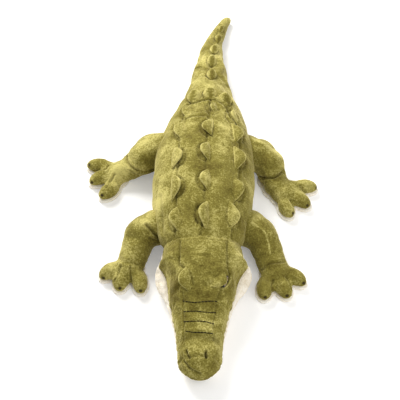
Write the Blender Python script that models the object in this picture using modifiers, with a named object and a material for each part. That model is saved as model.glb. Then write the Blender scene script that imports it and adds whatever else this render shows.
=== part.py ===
# Plush crocodile lying on its belly: sewn covers over stuffing, bending at its seams.
# Metres, +Z up. The floor is Z = 0 and the snout points to -Y. Left and right are the animal's own.
from collections import namedtuple
from math import acos, asin, cos, pi, radians, sin, sqrt

import bmesh
import bpy
from mathutils import Matrix, Vector

# Fabric and clearances
PLUSH = 0.0025          # backing cloth with its flattened pile
FIT_GAP = 0.0003        # between pieces that are sewn or pressed together
SEAM_GAP = 0.0004       # between two panels along a seam
TURN_GAP = 0.0005       # between a stuffed root and the pocket that it turns in
STUFFING_EASE = 0.0005  # between a foot's lining and its stuffing
FLAT_DEPTH = 0.0005     # how deep the floor flattens a form that lies on it
UNDERCUT = 0.004        # how far a cutter runs below the floor
MERGE_DISTANCE = 0.00002

# Lengths along the spine
HEAD_LENGTH = 0.178
TORSO_LENGTH = 0.267
TAIL_BASE_LENGTH = 0.099
TAIL_TIP_LENGTH = 0.072

# The spine's sideways places, with the toy lying as it fell
SNOUT_SIDE = -0.0035
NECK_SIDE = -0.001
BACK_SIDE = 0.003
TAIL_ROOT_SIDE = 0.0095
TAIL_BEND_SIDE = 0.0145
TAIL_TIP_SIDE = 0.039

# Torso
TORSO_HALF_WIDTH = 0.067
TORSO_HEIGHT = 0.084
TORSO_LEVEL = 0.034     # height of its widest line
BACK_FULLNESS_SHARE = 2.1   # 2 is an ellipse, more is squarer
BELLY_FULLNESS_SHARE = 0.9  # what the belly's middle has over an ellipse

# Neck: the head's stuffed root, round about the neck's upright axis
NECK_RADIUS = 0.050
NECK_LEVEL = 0.030
NECK_RISE = 0.037

# Head
CHEEK_HALF_WIDTH = 0.054
JAW_HALF_WIDTH = 0.058
HEAD_HEIGHT = 0.069
MOUTH_LEVEL = 0.028     # height of the mouth seam at the cheeks
SNOUT_TIP_LEVEL = 0.016

# How far the seams let the head and the tail turn to each side, in degrees
NECK_TURN = 10
TAIL_ROOT_TURN = 15
TAIL_BEND_TURN = 18

# Tail roots, round about their upright axes
TAIL_ROOT_RADIUS = 0.030
TAIL_ROOT_LEVEL = 0.025
TAIL_ROOT_RISE = 0.023
TAIL_BEND_RADIUS = 0.013
TAIL_BEND_LEVEL = 0.013
TAIL_BEND_RISE = 0.013
TAIL_TIP_RADIUS = 0.0055
TAIL_TIP_LEVEL = 0.006

# Upper legs: turned lobes, half sunk in the torso's sides
SHOULDER_BACK = 0.031  # from the neck's axis
SHOULDER_PROUD = 0.017  # from the torso's side out to the lobe's centre
SHOULDER_RADIUS = 0.026
SHOULDER_LEVEL = 0.024
SHOULDER_RISE = 0.022
HIP_BACK = 0.160
HIP_PROUD = 0.011
HIP_RADIUS = 0.030
HIP_LEVEL = 0.026
HIP_RISE = 0.025
LOBE_CLEARANCE = 0.003  # under an upper leg

# Feet
SOLE = 0.0025
SOLE_LIP = 0.0006
WRIST_REACH = 0.0285    # shoulder axis to wrist axis
WRIST_RADIUS = 0.0195
WRIST_HEIGHT = 0.029
FRONT_PALM_REACH = 0.016
FRONT_PALM_RADIUS = 0.0195
KNEE_REACH = 0.030      # hip axis to knee axis
KNEE_RADIUS = 0.017
KNEE_HEIGHT = 0.026
REAR_PALM_REACH = 0.020
REAR_PALM_RADIUS = 0.019
PALM_HEIGHT = 0.020
TOE_REACH = 0.0445       # palm centre to the longest toe's tip
TOE_HALF_LENGTH = 0.021
TOE_HALF_WIDTH = 0.0105
TOE_HEIGHT = 0.0155

# Scutes and brows
SCUTE_LENGTH = 0.030
SCUTE_WIDTH = 0.0145
SCUTE_HEIGHT = 0.0095
TAIL_SCUTE_LENGTH = 0.021
TAIL_SCUTE_WIDTH = 0.0125
TAIL_SCUTE_HEIGHT = 0.008
BROW_LENGTH = 0.038
BROW_WIDTH = 0.019
BROW_HEIGHT = 0.010
LEAF_SINK = 0.0015      # how far a leaf starts inside its form, before the form cuts it

# Eyes: domed plastic eyes on stems, each held by a washer behind the cloth
EYE_RADIUS = 0.0045
EYE_DOME = 0.0032
EYE_STEM_RADIUS = 0.0015
EYE_STEM_LENGTH = 0.0085
EYE_LENGTHS_CLEAR = 4   # how many domes of room are cut for the eye, outwards
WASHER_RADIUS = 0.0055
WASHER_THICKNESS = 0.0012
WASHER_DEPTH = 0.0038   # from the face of the cloth to the washer

# Places worked out from the sizes above
TOTAL_LENGTH = HEAD_LENGTH + TORSO_LENGTH + TAIL_BASE_LENGTH + TAIL_TIP_LENGTH
SNOUT_Y = -TOTAL_LENGTH / 2
NECK_Y = SNOUT_Y + HEAD_LENGTH
TAIL_ROOT_Y = NECK_Y + TORSO_LENGTH
TAIL_BEND_Y = TAIL_ROOT_Y + TAIL_BASE_LENGTH
SOLE_TOP = SOLE + FIT_GAP
NECK_DROP = NECK_LEVEL - PLUSH - TURN_GAP
TAIL_ROOT_DROP = TAIL_ROOT_LEVEL - PLUSH - TURN_GAP
TAIL_BEND_DROP = TAIL_BEND_LEVEL - PLUSH - TURN_GAP

# Ring samples, in degrees: the green cover goes over the top, the belly panel closes the bottom
BELLY_HALF_SPAN = 60
COVER_STEPS = 16
BELLY_SPAN_SHARES = (1, 0.75, 0.5, 0.3, 0.14)
SNOUT_STEPS = 14
TAIL_STEPS = 16
TIP_STEPS = 12
LOBE_STEPS = 18
SOCKET_STEPS = 24
FOOT_STEPS = 36
LOBE_ROWS = 6
WELL_ROWS = 5
EYE_STEPS = 12
EYE_ROWS = 4

# Torso stations: along the torso, half width, top and widest line, as shares of the torso's sizes
TORSO_SHARES = (
    (0.10, 0.887, 0.905, 0.93),
    (0.20, 0.950, 0.960, 0.97),
    (0.31, 0.995, 0.990, 1.00),
    (0.44, 1.000, 1.000, 1.00),
    (0.57, 0.963, 0.980, 0.99),
    (0.68, 0.870, 0.930, 0.96),
    (0.78, 0.776, 0.850, 0.91),
    (0.88, 0.642, 0.740, 0.84),
    (0.95, 0.545, 0.655, 0.78),
)
# Head stations: along the head, upper and lower half widths, top, mouth seam, fullness of the section
# and how much of the height under the mouth seam the chin fills
HEAD_SHARES = (
    (0.070, 0.935, 0.870, 1.020, 1.040, 2.0, 1),
    (0.130, 1.000, 0.945, 1.010, 1.000, 2.1, 1),
    (0.200, 0.970, 1.000, 0.985, 0.960, 2.2, 1),
    (0.275, 0.850, 0.910, 0.950, 0.890, 2.3, 1),
    (0.350, 0.775, 0.760, 0.890, 0.790, 2.4, 1),
    (0.435, 0.710, 0.665, 0.805, 0.690, 2.4, 1),
    (0.545, 0.620, 0.570, 0.705, 0.620, 2.4, 1),
    (0.665, 0.545, 0.495, 0.640, 0.580, 2.4, 1),
    (0.790, 0.500, 0.450, 0.600, 0.560, 2.3, 1),
    (0.880, 0.490, 0.435, 0.575, 0.550, 2.2, 1),
    (0.940, 0.400, 0.350, 0.510, 0.550, 2.1, 0.80),
    (0.980, 0.240, 0.205, 0.400, 0.560, 2.0, 0.50),
)
# Tail stations: along the section, then how much of the root's extra width and height is left
TAIL_BASE_SHARES = (
    (0.14, 0.96, 0.95),
    (0.30, 0.77, 0.80),
    (0.50, 0.61, 0.56),
    (0.68, 0.36, 0.34),
    (0.85, 0.15, 0.15),
)
TAIL_TIP_SHARES = (
    (0.20, 0.95, 0.92),
    (0.42, 0.80, 0.74),
    (0.64, 0.56, 0.50),
    (0.83, 0.33, 0.24),
    (0.95, 0.06, 0.04),
)
TIP_CAVITY_ROWS = 3
TIP_BOW_SHARE = 0.42    # how far over the tail tip's middle lies
ROOT_SLICE_SHARES = (-0.76, -0.58, -0.32)

# Scute rows: along the torso or tail section, across as a share of the section's half width, and size
SCUTE_SHARES = {
    "spine": ((0.077, 0.01, 1.12), (0.266, 0.04, 1.00), (0.437, 0.02, 0.96), (0.591, 0.06, 0.92),
              (0.735, 0.12, 0.84), (0.863, 0.09, 0.86)),
    "left": ((0.082, 0.68, 1.06), (0.237, 0.68, 1.04), (0.421, 0.70, 1.00), (0.586, 0.69, 0.94),
             (0.723, 0.64, 0.86), (0.839, 0.49, 0.86)),
    "right": ((0.073, -0.59, 1.06), (0.239, -0.51, 1.04), (0.413, -0.50, 1.00), (0.588, -0.54, 0.94),
              (0.723, -0.49, 0.86), (0.842, -0.35, 0.86)),
}
TAIL_SCUTE_SHARES = ((0.135, 0.05, 1.00), (0.444, 0.02, 0.94), (0.737, 0.02, 0.88))
TIP_SCUTE_SHARES = ((0.17, 0.00, 0.74), (0.47, 0.00, 0.62))
LEAF_SHARES = ((0, -0.54), (0.60, -0.24), (0.92, 0.10), (0.66, 0.36), (0, 0.46))
LEAF_SHOULDER_SHARES = ((0, -0.26), (0.34, -0.08), (0.50, 0.12), (0.38, 0.28), (0, 0.34))
LEAF_SHOULDER_HEIGHT_SHARE = 0.72
LEAF_CREST_SHARE = 0.16
BROW_ALONG_SHARE = 0.345
BROW_ACROSS_SHARE = 0.50
EYE_ALONG_SHARE = 0.352
EYE_ACROSS_SHARE = 0.79

# Foot domes: where the rings run, from the rim in to the palm's centre
DOME_RING_SHARES = (1, 0.975, 0.88, 0.72, 0.50, 0.25)
LINING_RING_SHARES = (1, 0.94, 0.76, 0.45)
# How each leg lies: side, turn of the knee or wrist and of the middle toe from straight out to
# straight ahead, the toes' spread from it, all in degrees, the toes' lengths and the foot's reach
LEGS = {
    "front_leg_right": {"side": -1, "turn": 66, "toes": 68, "spread": (-43, 0, 40),
                        "toe_shares": (0.94, 0.97, 1.07), "drawn_share": 0.94},
    "front_leg_left": {"side": 1, "turn": 70, "toes": 72, "spread": (-47, 0, 40),
                       "toe_shares": (0.92, 1.00, 1.09), "drawn_share": 1.48},
    "rear_leg_right": {"side": -1, "turn": 25, "toes": 20, "spread": (-46, 0, 40),
                       "toe_shares": (1.00, 0.91, 1.00), "drawn_share": 1.00},
    "rear_leg_left": {"side": 1, "turn": 54, "toes": 44, "spread": (-47, 0, 42),
                      "toe_shares": (1.00, 1.00, 1.03), "drawn_share": 1.33},
}

Section = namedtuple("Section", "y x half level rise drop full_up full_low")
HeadRow = namedtuple("HeadRow", "y x upper lower top mouth fullness chin")


def clear_scene():
    for item in list(bpy.data.objects):
        bpy.data.objects.remove(item, do_unlink=True)


def make_collection(name):
    collection = bpy.data.collections.new(name)
    bpy.context.scene.collection.children.link(collection)
    return collection


def make_material(name, colour, roughness):
    material = bpy.data.materials.new(name)
    material.use_nodes = True
    shader = material.node_tree.nodes["Principled BSDF"]
    shader.inputs["Base Color"].default_value = (*colour, 1)
    shader.inputs["Roughness"].default_value = roughness
    shader.inputs["Metallic"].default_value = 0
    material.diffuse_color = (*colour, 1)
    return material


def add_object(name, mesh, collection, material=None, smooth=True):
    item = bpy.data.objects.new(name, mesh)
    collection.objects.link(item)
    if material:
        mesh.materials.append(material)
    if smooth:
        mesh.shade_smooth()
        mesh.set_sharp_from_angle(angle=radians(50))
    return item


def make_cutter(item):
    item.hide_render = True
    item.display_type = "WIRE"
    return item


def cut(item, cutter):
    modifier = item.modifiers.new("cut_" + cutter.name, "BOOLEAN")
    modifier.operation = "DIFFERENCE"
    modifier.solver = "EXACT"
    modifier.object = cutter


def add_pivot(name, place, collection, parent=None):
    pivot = bpy.data.objects.new(name, None)
    collection.objects.link(pivot)
    pivot.parent = parent
    pivot.location = place - (parent.matrix_world.translation if parent else Vector())
    bpy.context.view_layer.update()
    return pivot


def hang_on(item, pivot):
    """Moves a piece's mesh so that its origin is the pivot's."""
    item.data.transform(Matrix.Translation(-pivot.matrix_world.translation))
    item.parent = pivot


def blend(start, end, share):
    return start + (end - start) * share


def curve_through(start, middle, end, share):
    """A smooth value that is start, middle and end at shares 0, one half and 1."""
    return (start * (1 - share) * (1 - 2 * share) + middle * 4 * share * (1 - share)
            + end * share * (2 * share - 1))


# Cross-sections

def ring_point(section, degrees, inset=0):
    """A point on an egg-shaped cross-section, drawn in by the inset and kept above the floor."""
    across = cos(radians(degrees))
    upward = sin(radians(degrees))
    fullness = section.full_up if upward >= 0 else section.full_low
    height = (section.rise if upward >= 0 else section.drop) - inset
    x = (section.half - inset) * abs(across) ** (2 / fullness)
    z = height * abs(upward) ** (2 / fullness)
    x = x if across >= 0 else -x
    z = z if upward >= 0 else -z
    return Vector((section.x + x, section.y, max(section.level + z, inset)))


def root_slice(center, radius, level, rise, drop, share, inset=0):
    """An upright slice through a stuffed root at a share of its radius ahead of its axis."""
    ahead = radius * share
    inner = radius - inset
    scale = sqrt(max(1 - (ahead / inner) ** 2, 0))
    return Section(center.y + ahead, center.x, inner * scale, level, (rise - inset) * scale,
                   (drop - inset) * scale, 2, 2)


def section_at(sections, y):
    """The section at a place along a form, between the two stations beside it."""
    ordered = sorted(sections, key=lambda section: section.y)
    for near, far in zip(ordered, ordered[1:]):
        if y <= far.y:
            share = max((y - near.y) / (far.y - near.y), 0)
            return Section(*(blend(a, b, share) for a, b in zip(near, far)))
    return ordered[-1]


def surface_point(sections, y, degrees, lift):
    """A point lifted off a form's surface, square to its cross-section."""
    section = section_at(sections, y)
    here = ring_point(section, degrees)
    along = ring_point(section, degrees + 1) - ring_point(section, degrees - 1)
    outward = Vector((along.z, 0, -along.x)).normalized()
    return here + outward * lift


# Meshes from rings of points

def add_ring(bm, points):
    return [bm.verts.new(point) for point in points]


def bridge(bm, ring, other, closed):
    count = len(ring)
    for i in range(count if closed else count - 1):
        j = (i + 1) % count
        bm.faces.new((ring[i], ring[j], other[j], other[i]))


def fan(bm, ring, tip, closed):
    count = len(ring)
    for i in range(count if closed else count - 1):
        bm.faces.new((ring[i], ring[(i + 1) % count], tip))


def finish_mesh(name, bm):
    bmesh.ops.recalc_face_normals(bm, faces=bm.faces)
    mesh = bpy.data.meshes.new(name)
    bm.to_mesh(mesh)
    bm.free()
    return mesh


def solid_loft(name, rings, tip=None):
    """A closed form through whole rings, with a flat start and a flat or pointed end."""
    bm = bmesh.new()
    loops = [add_ring(bm, points) for points in rings]
    for ring, other in zip(loops, loops[1:]):
        bridge(bm, ring, other, True)
    bm.faces.new(loops[0])
    if tip:
        fan(bm, loops[-1], bm.verts.new(tip), True)
    else:
        bm.faces.new(loops[-1])
    return finish_mesh(name, bm)


def tube_loft(name, outer, inner, outer_tip=None, inner_tip=None):
    """A sleeve of cloth, open at its start and open or closed at its end."""
    bm = bmesh.new()
    skins = [[add_ring(bm, points) for points in rings] for rings in (outer, inner)]
    for loops in skins:
        for ring, other in zip(loops, loops[1:]):
            bridge(bm, ring, other, True)
    bridge(bm, skins[0][0], skins[1][0], True)
    if outer_tip:
        fan(bm, skins[0][-1], bm.verts.new(outer_tip), True)
        fan(bm, skins[1][-1], bm.verts.new(inner_tip), True)
    else:
        bridge(bm, skins[0][-1], skins[1][-1], True)
    return finish_mesh(name, bm)


def panel_loft(name, outer, inner, outer_tip=None, inner_tip=None):
    """A panel of cloth that reaches part of the way round, open or pointed at its end."""
    bm = bmesh.new()
    skins = [[add_ring(bm, points) for points in rings] for rings in (outer, inner)]
    for loops in skins:
        for ring, other in zip(loops, loops[1:]):
            bridge(bm, ring, other, False)
    for edge in (0, -1):
        for i in range(len(outer) - 1):
            corners = (skins[0][i], skins[0][i + 1], skins[1][i + 1], skins[1][i])
            bm.faces.new([loop[edge] for loop in corners])
    bridge(bm, skins[0][0], skins[1][0], False)
    if outer_tip:
        tips = [bm.verts.new(outer_tip), bm.verts.new(inner_tip)]
        for loops, tip in zip(skins, tips):
            fan(bm, loops[-1], tip, False)
        for edge in (0, -1):
            bm.faces.new((skins[0][-1][edge], skins[1][-1][edge], tips[1], tips[0]))
    else:
        bridge(bm, skins[0][-1], skins[1][-1], False)
    return finish_mesh(name, bm)


def turned(name, profile, steps, collection, material=None):
    """A shape turned about its own upright axis from a profile that runs down its outer side."""
    mesh = bpy.data.meshes.new(name)
    edges = [(i, i + 1) for i in range(len(profile) - 1)]
    mesh.from_pydata([(radius, 0, height) for radius, height in profile], edges, [])
    item = add_object(name, mesh, collection, material, smooth=False)
    screw = item.modifiers.new("turn", "SCREW")
    screw.axis = "Z"
    screw.angle = 2 * pi
    screw.steps = steps
    screw.render_steps = steps
    screw.use_merge_vertices = True
    screw.merge_threshold = MERGE_DISTANCE
    screw.use_smooth_shade = True
    return item


def egg_profile(radius, level, rise, drop, rows=LOBE_ROWS):
    """The side of an egg-shaped lobe, from its top pole to its bottom pole."""
    points = []
    for i in range(rows + 1):
        angle = pi * (0.5 - i / rows)
        height = rise if angle >= 0 else drop
        points.append((0 if i in (0, rows) else radius * cos(angle), level + height * sin(angle)))
    return points


def well_profile(radius, level, rise):
    """A dome that clears a round root by the turning gap, over a straight well down through the floor."""
    clear = 1 / cos(pi / SOCKET_STEPS) / cos(pi / WELL_ROWS / 4)
    wide = (radius + TURN_GAP) * clear
    high = (rise + TURN_GAP) * clear
    points = [(0, level + high)]
    for i in range(1, WELL_ROWS + 1):
        angle = pi / 2 * (1 - i / WELL_ROWS)
        points.append((wide * cos(angle), level + high * sin(angle)))
    return points + [(wide, -UNDERCUT), (0, -UNDERCUT)]


# Torso

def belly_degrees():
    """Samples across the belly panel; the middle two lie on its flat."""
    left = [270 - BELLY_HALF_SPAN * share for share in BELLY_SPAN_SHARES]
    return left + [540 - degrees for degrees in reversed(left)]


def cover_degrees(steps=COVER_STEPS):
    start = BELLY_HALF_SPAN - 90
    return [start + (360 - 2 * BELLY_HALF_SPAN) * i / steps for i in range(steps + 1)]


def seam_degrees(degrees, narrow):
    """The same samples with the two at the seams drawn back, for the gap between the panels."""
    back = SEAM_GAP / narrow * 180 / pi
    return [degrees[0] + back] + degrees[1:-1] + [degrees[-1] - back]


def torso_sections(neck, tail_root):
    rim = PLUSH + TURN_GAP
    sections = [Section(neck.y, neck.x, NECK_RADIUS + rim, NECK_LEVEL, NECK_RISE + rim, NECK_LEVEL, 2, 2)]
    for along, half, top, level in TORSO_SHARES:
        height = TORSO_LEVEL * level
        side = curve_through(NECK_SIDE, BACK_SIDE, TAIL_ROOT_SIDE, along)
        full_low = 2 + BELLY_FULLNESS_SHARE * sin(pi * along)
        sections.append(Section(blend(neck.y, tail_root.y, along), side, TORSO_HALF_WIDTH * half, height,
                                TORSO_HEIGHT * top - height, height + FLAT_DEPTH, BACK_FULLNESS_SHARE,
                                full_low))
    sections.append(Section(tail_root.y, tail_root.x, TAIL_ROOT_RADIUS + rim, TAIL_ROOT_LEVEL,
                            TAIL_ROOT_RISE + rim, TAIL_ROOT_LEVEL, 2, 2))
    return sections


def panel_rings(sections, degrees, inset=0):
    return [[ring_point(section, angle, inset) for angle in degrees] for section in sections]


def build_torso(sections, pieces, materials, sockets):
    cover = seam_degrees(cover_degrees(), TAIL_ROOT_RADIUS)
    belly = seam_degrees(belly_degrees(), TAIL_ROOT_RADIUS)
    mesh = panel_loft("torso_back_cover", panel_rings(sections, cover), panel_rings(sections, cover, PLUSH))
    back = add_object("torso_back_cover", mesh, pieces, materials["torso_back_cover"])
    mesh = panel_loft("belly_panel", panel_rings(sections, belly), panel_rings(sections, belly, PLUSH))
    panel = add_object("belly_panel", mesh, pieces, materials["belly_panel"])
    around = cover_degrees() + belly_degrees()[1:-1]
    mesh = solid_loft("torso_stuffing", panel_rings(sections, around, PLUSH + FIT_GAP))
    stuffing = add_object("torso_stuffing", mesh, pieces, materials["torso_stuffing"])
    for item in (back, panel):
        for name in sockets["legs"]:
            cut(item, bpy.data.objects[name])
    for name in sockets["legs"] + sockets["ends"]:
        cut(stuffing, bpy.data.objects[name])


# Head

def head_rows(neck):
    """The head's own stations, ahead of its stuffed root, in real sizes."""
    rows = []
    for along, upper, lower, top, mouth, fullness, chin in HEAD_SHARES:
        level = MOUTH_LEVEL * mouth
        rows.append(HeadRow(neck.y - HEAD_LENGTH * along, blend(neck.x, SNOUT_SIDE, along),
                            CHEEK_HALF_WIDTH * upper, JAW_HALF_WIDTH * lower, HEAD_HEIGHT * top, level,
                            fullness, (level + FLAT_DEPTH) * chin))
    return rows


def root_sections(center, radius, level, rise, drop, toward, turn, inset=0):
    """The slices of a stuffed root, from the far side of the joint to past its axis.

    It stays round for as long as turning can bring it back through the seam."""
    shares = ROOT_SLICE_SHARES + (0, sin(radians(turn)))
    return [root_slice(center, radius, level, rise, drop, share * toward, inset) for share in shares]


def neck_root(neck, inset=0):
    return root_sections(neck, NECK_RADIUS, NECK_LEVEL, NECK_RISE, NECK_DROP, -1, NECK_TURN, inset)


def head_upper_sections(neck, inset=0):
    sections = neck_root(neck, inset)
    for row in head_rows(neck):
        sections.append(Section(row.y, row.x, row.upper - inset, row.mouth, row.top - row.mouth - inset,
                                row.mouth, row.fullness, 2))
    return sections


def jaw_sections(neck, inset=0):
    sections = neck_root(neck, inset)
    for row in head_rows(neck):
        sections.append(Section(row.y, row.x, row.lower - inset, row.mouth, row.mouth, row.chin - inset, 2,
                                row.fullness))
    return sections


def jaw_degrees(section, gap):
    """Samples round a lower section, from one side to the other, that start a gap below its seam."""
    start = asin((gap / section.drop) ** (section.full_low / 2)) * 180 / pi
    halves = [blend(90, start, share) for share in BELLY_SPAN_SHARES]
    return [360 - angle for angle in halves] + [180 + angle for angle in reversed(halves)]


def jaw_rings(neck, inset=0):
    """The lower jaw's rings: a ledge under the mouth seam, then down round the chin."""
    roots = neck_root(neck, PLUSH)
    ledges = [section.half for section in roots]
    ledges += [min(row.upper, row.lower) - PLUSH for row in head_rows(neck)]
    gap = SEAM_GAP + inset
    rings = []
    for section, ledge in zip(jaw_sections(neck, inset), ledges):
        points = [ring_point(section, angle) for angle in jaw_degrees(section, gap)]
        for point in points:
            point.z = max(point.z, inset)
        edges = [Vector((section.x + side * ledge, section.y, section.level - gap)) for side in (1, -1)]
        rings.append(edges[:1] + points + edges[1:])
    return rings


def snout_tip(level, inset=0):
    return Vector((SNOUT_SIDE, SNOUT_Y + inset, level))


def build_head(neck, pieces, cutters, materials):
    pivot = add_pivot("neck_axis", neck, pieces)
    degrees = [180 * i / SNOUT_STEPS for i in range(SNOUT_STEPS + 1)]
    upper = head_upper_sections(neck)
    outer = [[ring_point(section, angle) for angle in degrees] for section in upper]
    lining = head_upper_sections(neck, PLUSH)
    inner = [[ring_point(section, angle) for angle in degrees] for section in lining]
    mesh = panel_loft("head_cover", outer, inner, snout_tip(SNOUT_TIP_LEVEL),
                      snout_tip(SNOUT_TIP_LEVEL, PLUSH))
    cover = add_object("head_cover", mesh, pieces, materials["head_cover"])
    low = SNOUT_TIP_LEVEL - SEAM_GAP
    mesh = panel_loft("lower_jaw_panel", jaw_rings(neck), jaw_rings(neck, PLUSH), snout_tip(low),
                      snout_tip(low - PLUSH, PLUSH))
    jaw = add_object("lower_jaw_panel", mesh, pieces, materials["lower_jaw_panel"])
    inset = PLUSH + FIT_GAP
    filling = neck_root(neck, inset)
    for row in head_rows(neck):
        filling.append(Section(row.y, row.x, min(row.upper, row.lower) - inset, row.mouth,
                               row.top - row.mouth - inset, row.chin - inset - SEAM_GAP, row.fullness,
                               row.fullness))
    rings = []
    for section, lining in zip(filling, jaw_sections(neck, PLUSH)):
        around = degrees + jaw_degrees(lining, SEAM_GAP + PLUSH)[::-1]
        ring = [ring_point(section, angle) for angle in around]
        for point in ring:
            point.z = max(point.z, inset)
        rings.append(ring)
    mesh = solid_loft("head_stuffing", rings, snout_tip(SNOUT_TIP_LEVEL - SEAM_GAP, 2 * inset))
    stuffing = add_object("head_stuffing", mesh, pieces, materials["head_stuffing"])
    made = [cover, jaw, stuffing]
    around = degrees + [180 + 180 * i / SNOUT_STEPS for i in range(1, SNOUT_STEPS)]
    add_seat("head_seat", upper, around, cutters)
    for side, word in ((1, "left"), (-1, "right")):
        made += build_brow_and_eye(upper, side, word, cover, stuffing, pieces, cutters, materials)
    for item in made:
        hang_on(item, pivot)


def across_degrees(share):
    """The ring angle whose ray lies at a signed share of the half width, +X positive."""
    return acos(share) * 180 / pi


def build_brow_and_eye(upper, side, word, cover, stuffing, pieces, cutters, materials):
    y = blend(NECK_Y, SNOUT_Y, BROW_ALONG_SHARE)
    degrees = across_degrees(side * BROW_ACROSS_SHARE)
    brow = build_leaf("brow_" + word, upper, y, degrees, (BROW_LENGTH, BROW_WIDTH, BROW_HEIGHT),
                      bpy.data.objects["head_seat"], pieces, materials["brow"])
    y = blend(NECK_Y, SNOUT_Y, EYE_ALONG_SHARE)
    degrees = across_degrees(side * EYE_ACROSS_SHARE)
    seat = surface_point(upper, y, degrees, FIT_GAP)
    outward = (surface_point(upper, y, degrees, SCUTE_LENGTH) - seat).normalized()
    turn = outward.to_track_quat("Z", "Y").to_matrix().to_4x4()
    angles = [pi * i / EYE_ROWS / 2 for i in range(EYE_ROWS + 1)]
    dome = [(EYE_RADIUS * sin(angle), EYE_DOME * cos(angle)) for angle in angles]
    stem = [(EYE_STEM_RADIUS, 0), (EYE_STEM_RADIUS, -EYE_STEM_LENGTH), (0, -EYE_STEM_LENGTH)]
    eye = turned("eye_" + word, dome + stem, EYE_STEPS, pieces, materials["eye"])
    hole = EYE_STEM_RADIUS + FIT_GAP
    low = -WASHER_DEPTH - WASHER_THICKNESS
    rim = [(hole, -WASHER_DEPTH), (WASHER_RADIUS, -WASHER_DEPTH), (WASHER_RADIUS, low), (hole, low),
           (hole, -WASHER_DEPTH)]
    washer = turned("eye_washer_" + word, rim, EYE_STEPS, pieces, materials["eye_washer"])
    recess = EYE_RADIUS + 2 * FIT_GAP
    bore = hole + FIT_GAP
    pocket = WASHER_RADIUS + 2 * FIT_GAP
    top = EYE_LENGTHS_CLEAR * EYE_DOME
    pocket_top = FIT_GAP - WASHER_DEPTH
    bottom = -EYE_STEM_LENGTH - FIT_GAP
    well_steps = [(0, top), (recess, top), (recess, -FIT_GAP), (bore, -FIT_GAP), (bore, pocket_top),
                  (pocket, pocket_top), (pocket, low - FIT_GAP), (bore, low - FIT_GAP), (bore, bottom),
                  (0, bottom)]
    well = turned("eye_well_" + word, well_steps, EYE_STEPS, cutters)
    for item in (eye, washer, well):
        item.matrix_world = Matrix.Translation(seat) @ turn
    make_cutter(well)
    for item in (cover, stuffing, brow):
        cut(item, well)
    bpy.context.view_layer.update()
    return [brow, bake(eye), bake(washer)]


def bake(item):
    """Makes a turned and tilted piece a plain mesh in world places."""
    depsgraph = bpy.context.evaluated_depsgraph_get()
    mesh = bpy.data.meshes.new_from_object(item.evaluated_get(depsgraph))
    mesh.transform(item.matrix_world)
    name = item.name
    collection = item.users_collection[0]
    bpy.data.objects.remove(item)
    mesh.name = name
    solid = bpy.data.objects.new(name, mesh)
    collection.objects.link(solid)
    return solid


def add_seat(name, sections, degrees, cutters):
    """A form grown by the sewing gap, which gives what is sewn on it a matching base."""
    mesh = solid_loft(name, panel_rings(sections, degrees, -FIT_GAP))
    return make_cutter(add_object(name, mesh, cutters))


def build_leaf(name, sections, y, degrees, size, seat, pieces, material):
    """A stuffed leaf sewn on a form: pointed to the head, highest and rounder to the tail."""
    length, width, height = size
    section = section_at(sections, y)
    radius = (section.half + section.rise) / 2

    def point(across, along, lift):
        return surface_point(sections, y + along * length, degrees - across * width / 2 / radius * 180 / pi,
                             lift)

    def outline(shares, lift):
        right = [point(across, along, lift) for across, along in shares]
        left = [point(-across, along, lift) for across, along in reversed(shares[1:-1])]
        return right + left

    bm = bmesh.new()
    base = add_ring(bm, outline(LEAF_SHARES, -LEAF_SINK))
    shoulder = add_ring(bm, outline(LEAF_SHOULDER_SHARES, FIT_GAP + height * LEAF_SHOULDER_HEIGHT_SHARE))
    bridge(bm, base, shoulder, True)
    fan(bm, base, bm.verts.new(point(0, 0, -2 * LEAF_SINK)), True)
    fan(bm, shoulder, bm.verts.new(point(0, LEAF_CREST_SHARE, FIT_GAP + height)), True)
    leaf = add_object(name, finish_mesh(name, bm), pieces, material)
    cut(leaf, seat)
    return leaf


# Tail

def tail_base_sections(root, bend, inset=0):
    sections = root_sections(root, TAIL_ROOT_RADIUS, TAIL_ROOT_LEVEL, TAIL_ROOT_RISE, TAIL_ROOT_DROP, 1,
                             TAIL_ROOT_TURN, inset)
    rim = PLUSH + TURN_GAP
    end_half = TAIL_BEND_RADIUS + rim
    end_top = TAIL_BEND_LEVEL + TAIL_BEND_RISE + rim
    root_top = TAIL_ROOT_LEVEL + TAIL_ROOT_RISE
    for along, wide, high in TAIL_BASE_SHARES + ((1, 0, 0),):
        level = blend(TAIL_ROOT_LEVEL, TAIL_BEND_LEVEL, along)
        half = blend(end_half, TAIL_ROOT_RADIUS, wide)
        top = blend(end_top, root_top, high)
        sections.append(Section(blend(root.y, bend.y, along), blend(root.x, bend.x, along), half - inset,
                                level, top - level - inset, level - inset, 2, 2))
    return sections


def tail_tip_sections(bend, rows=None, inset=0):
    sections = root_sections(bend, TAIL_BEND_RADIUS, TAIL_BEND_LEVEL, TAIL_BEND_RISE, TAIL_BEND_DROP, 1,
                             TAIL_BEND_TURN, inset)
    middle = blend(TAIL_BEND_SIDE, TAIL_TIP_SIDE, TIP_BOW_SHARE)
    for along, wide, high in TAIL_TIP_SHARES[:rows]:
        level = blend(TAIL_BEND_LEVEL, TAIL_TIP_LEVEL, along)
        half = blend(TAIL_TIP_RADIUS, TAIL_BEND_RADIUS, wide)
        rise = blend(TAIL_TIP_LEVEL, TAIL_BEND_RISE, high)
        side = curve_through(TAIL_BEND_SIDE, middle, TAIL_TIP_SIDE, along)
        sections.append(Section(bend.y + TAIL_TIP_LENGTH * along, side, half - inset, level, rise - inset,
                                level - inset, 2, 2))
    return sections


def whole_degrees(steps):
    """Samples all the way round, the two lowest beside the bottom."""
    return [270 + 360 * (i + 0.5) / steps for i in range(steps)]


def whole_rings(sections, steps):
    return [[ring_point(section, angle) for angle in whole_degrees(steps)] for section in sections]


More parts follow.
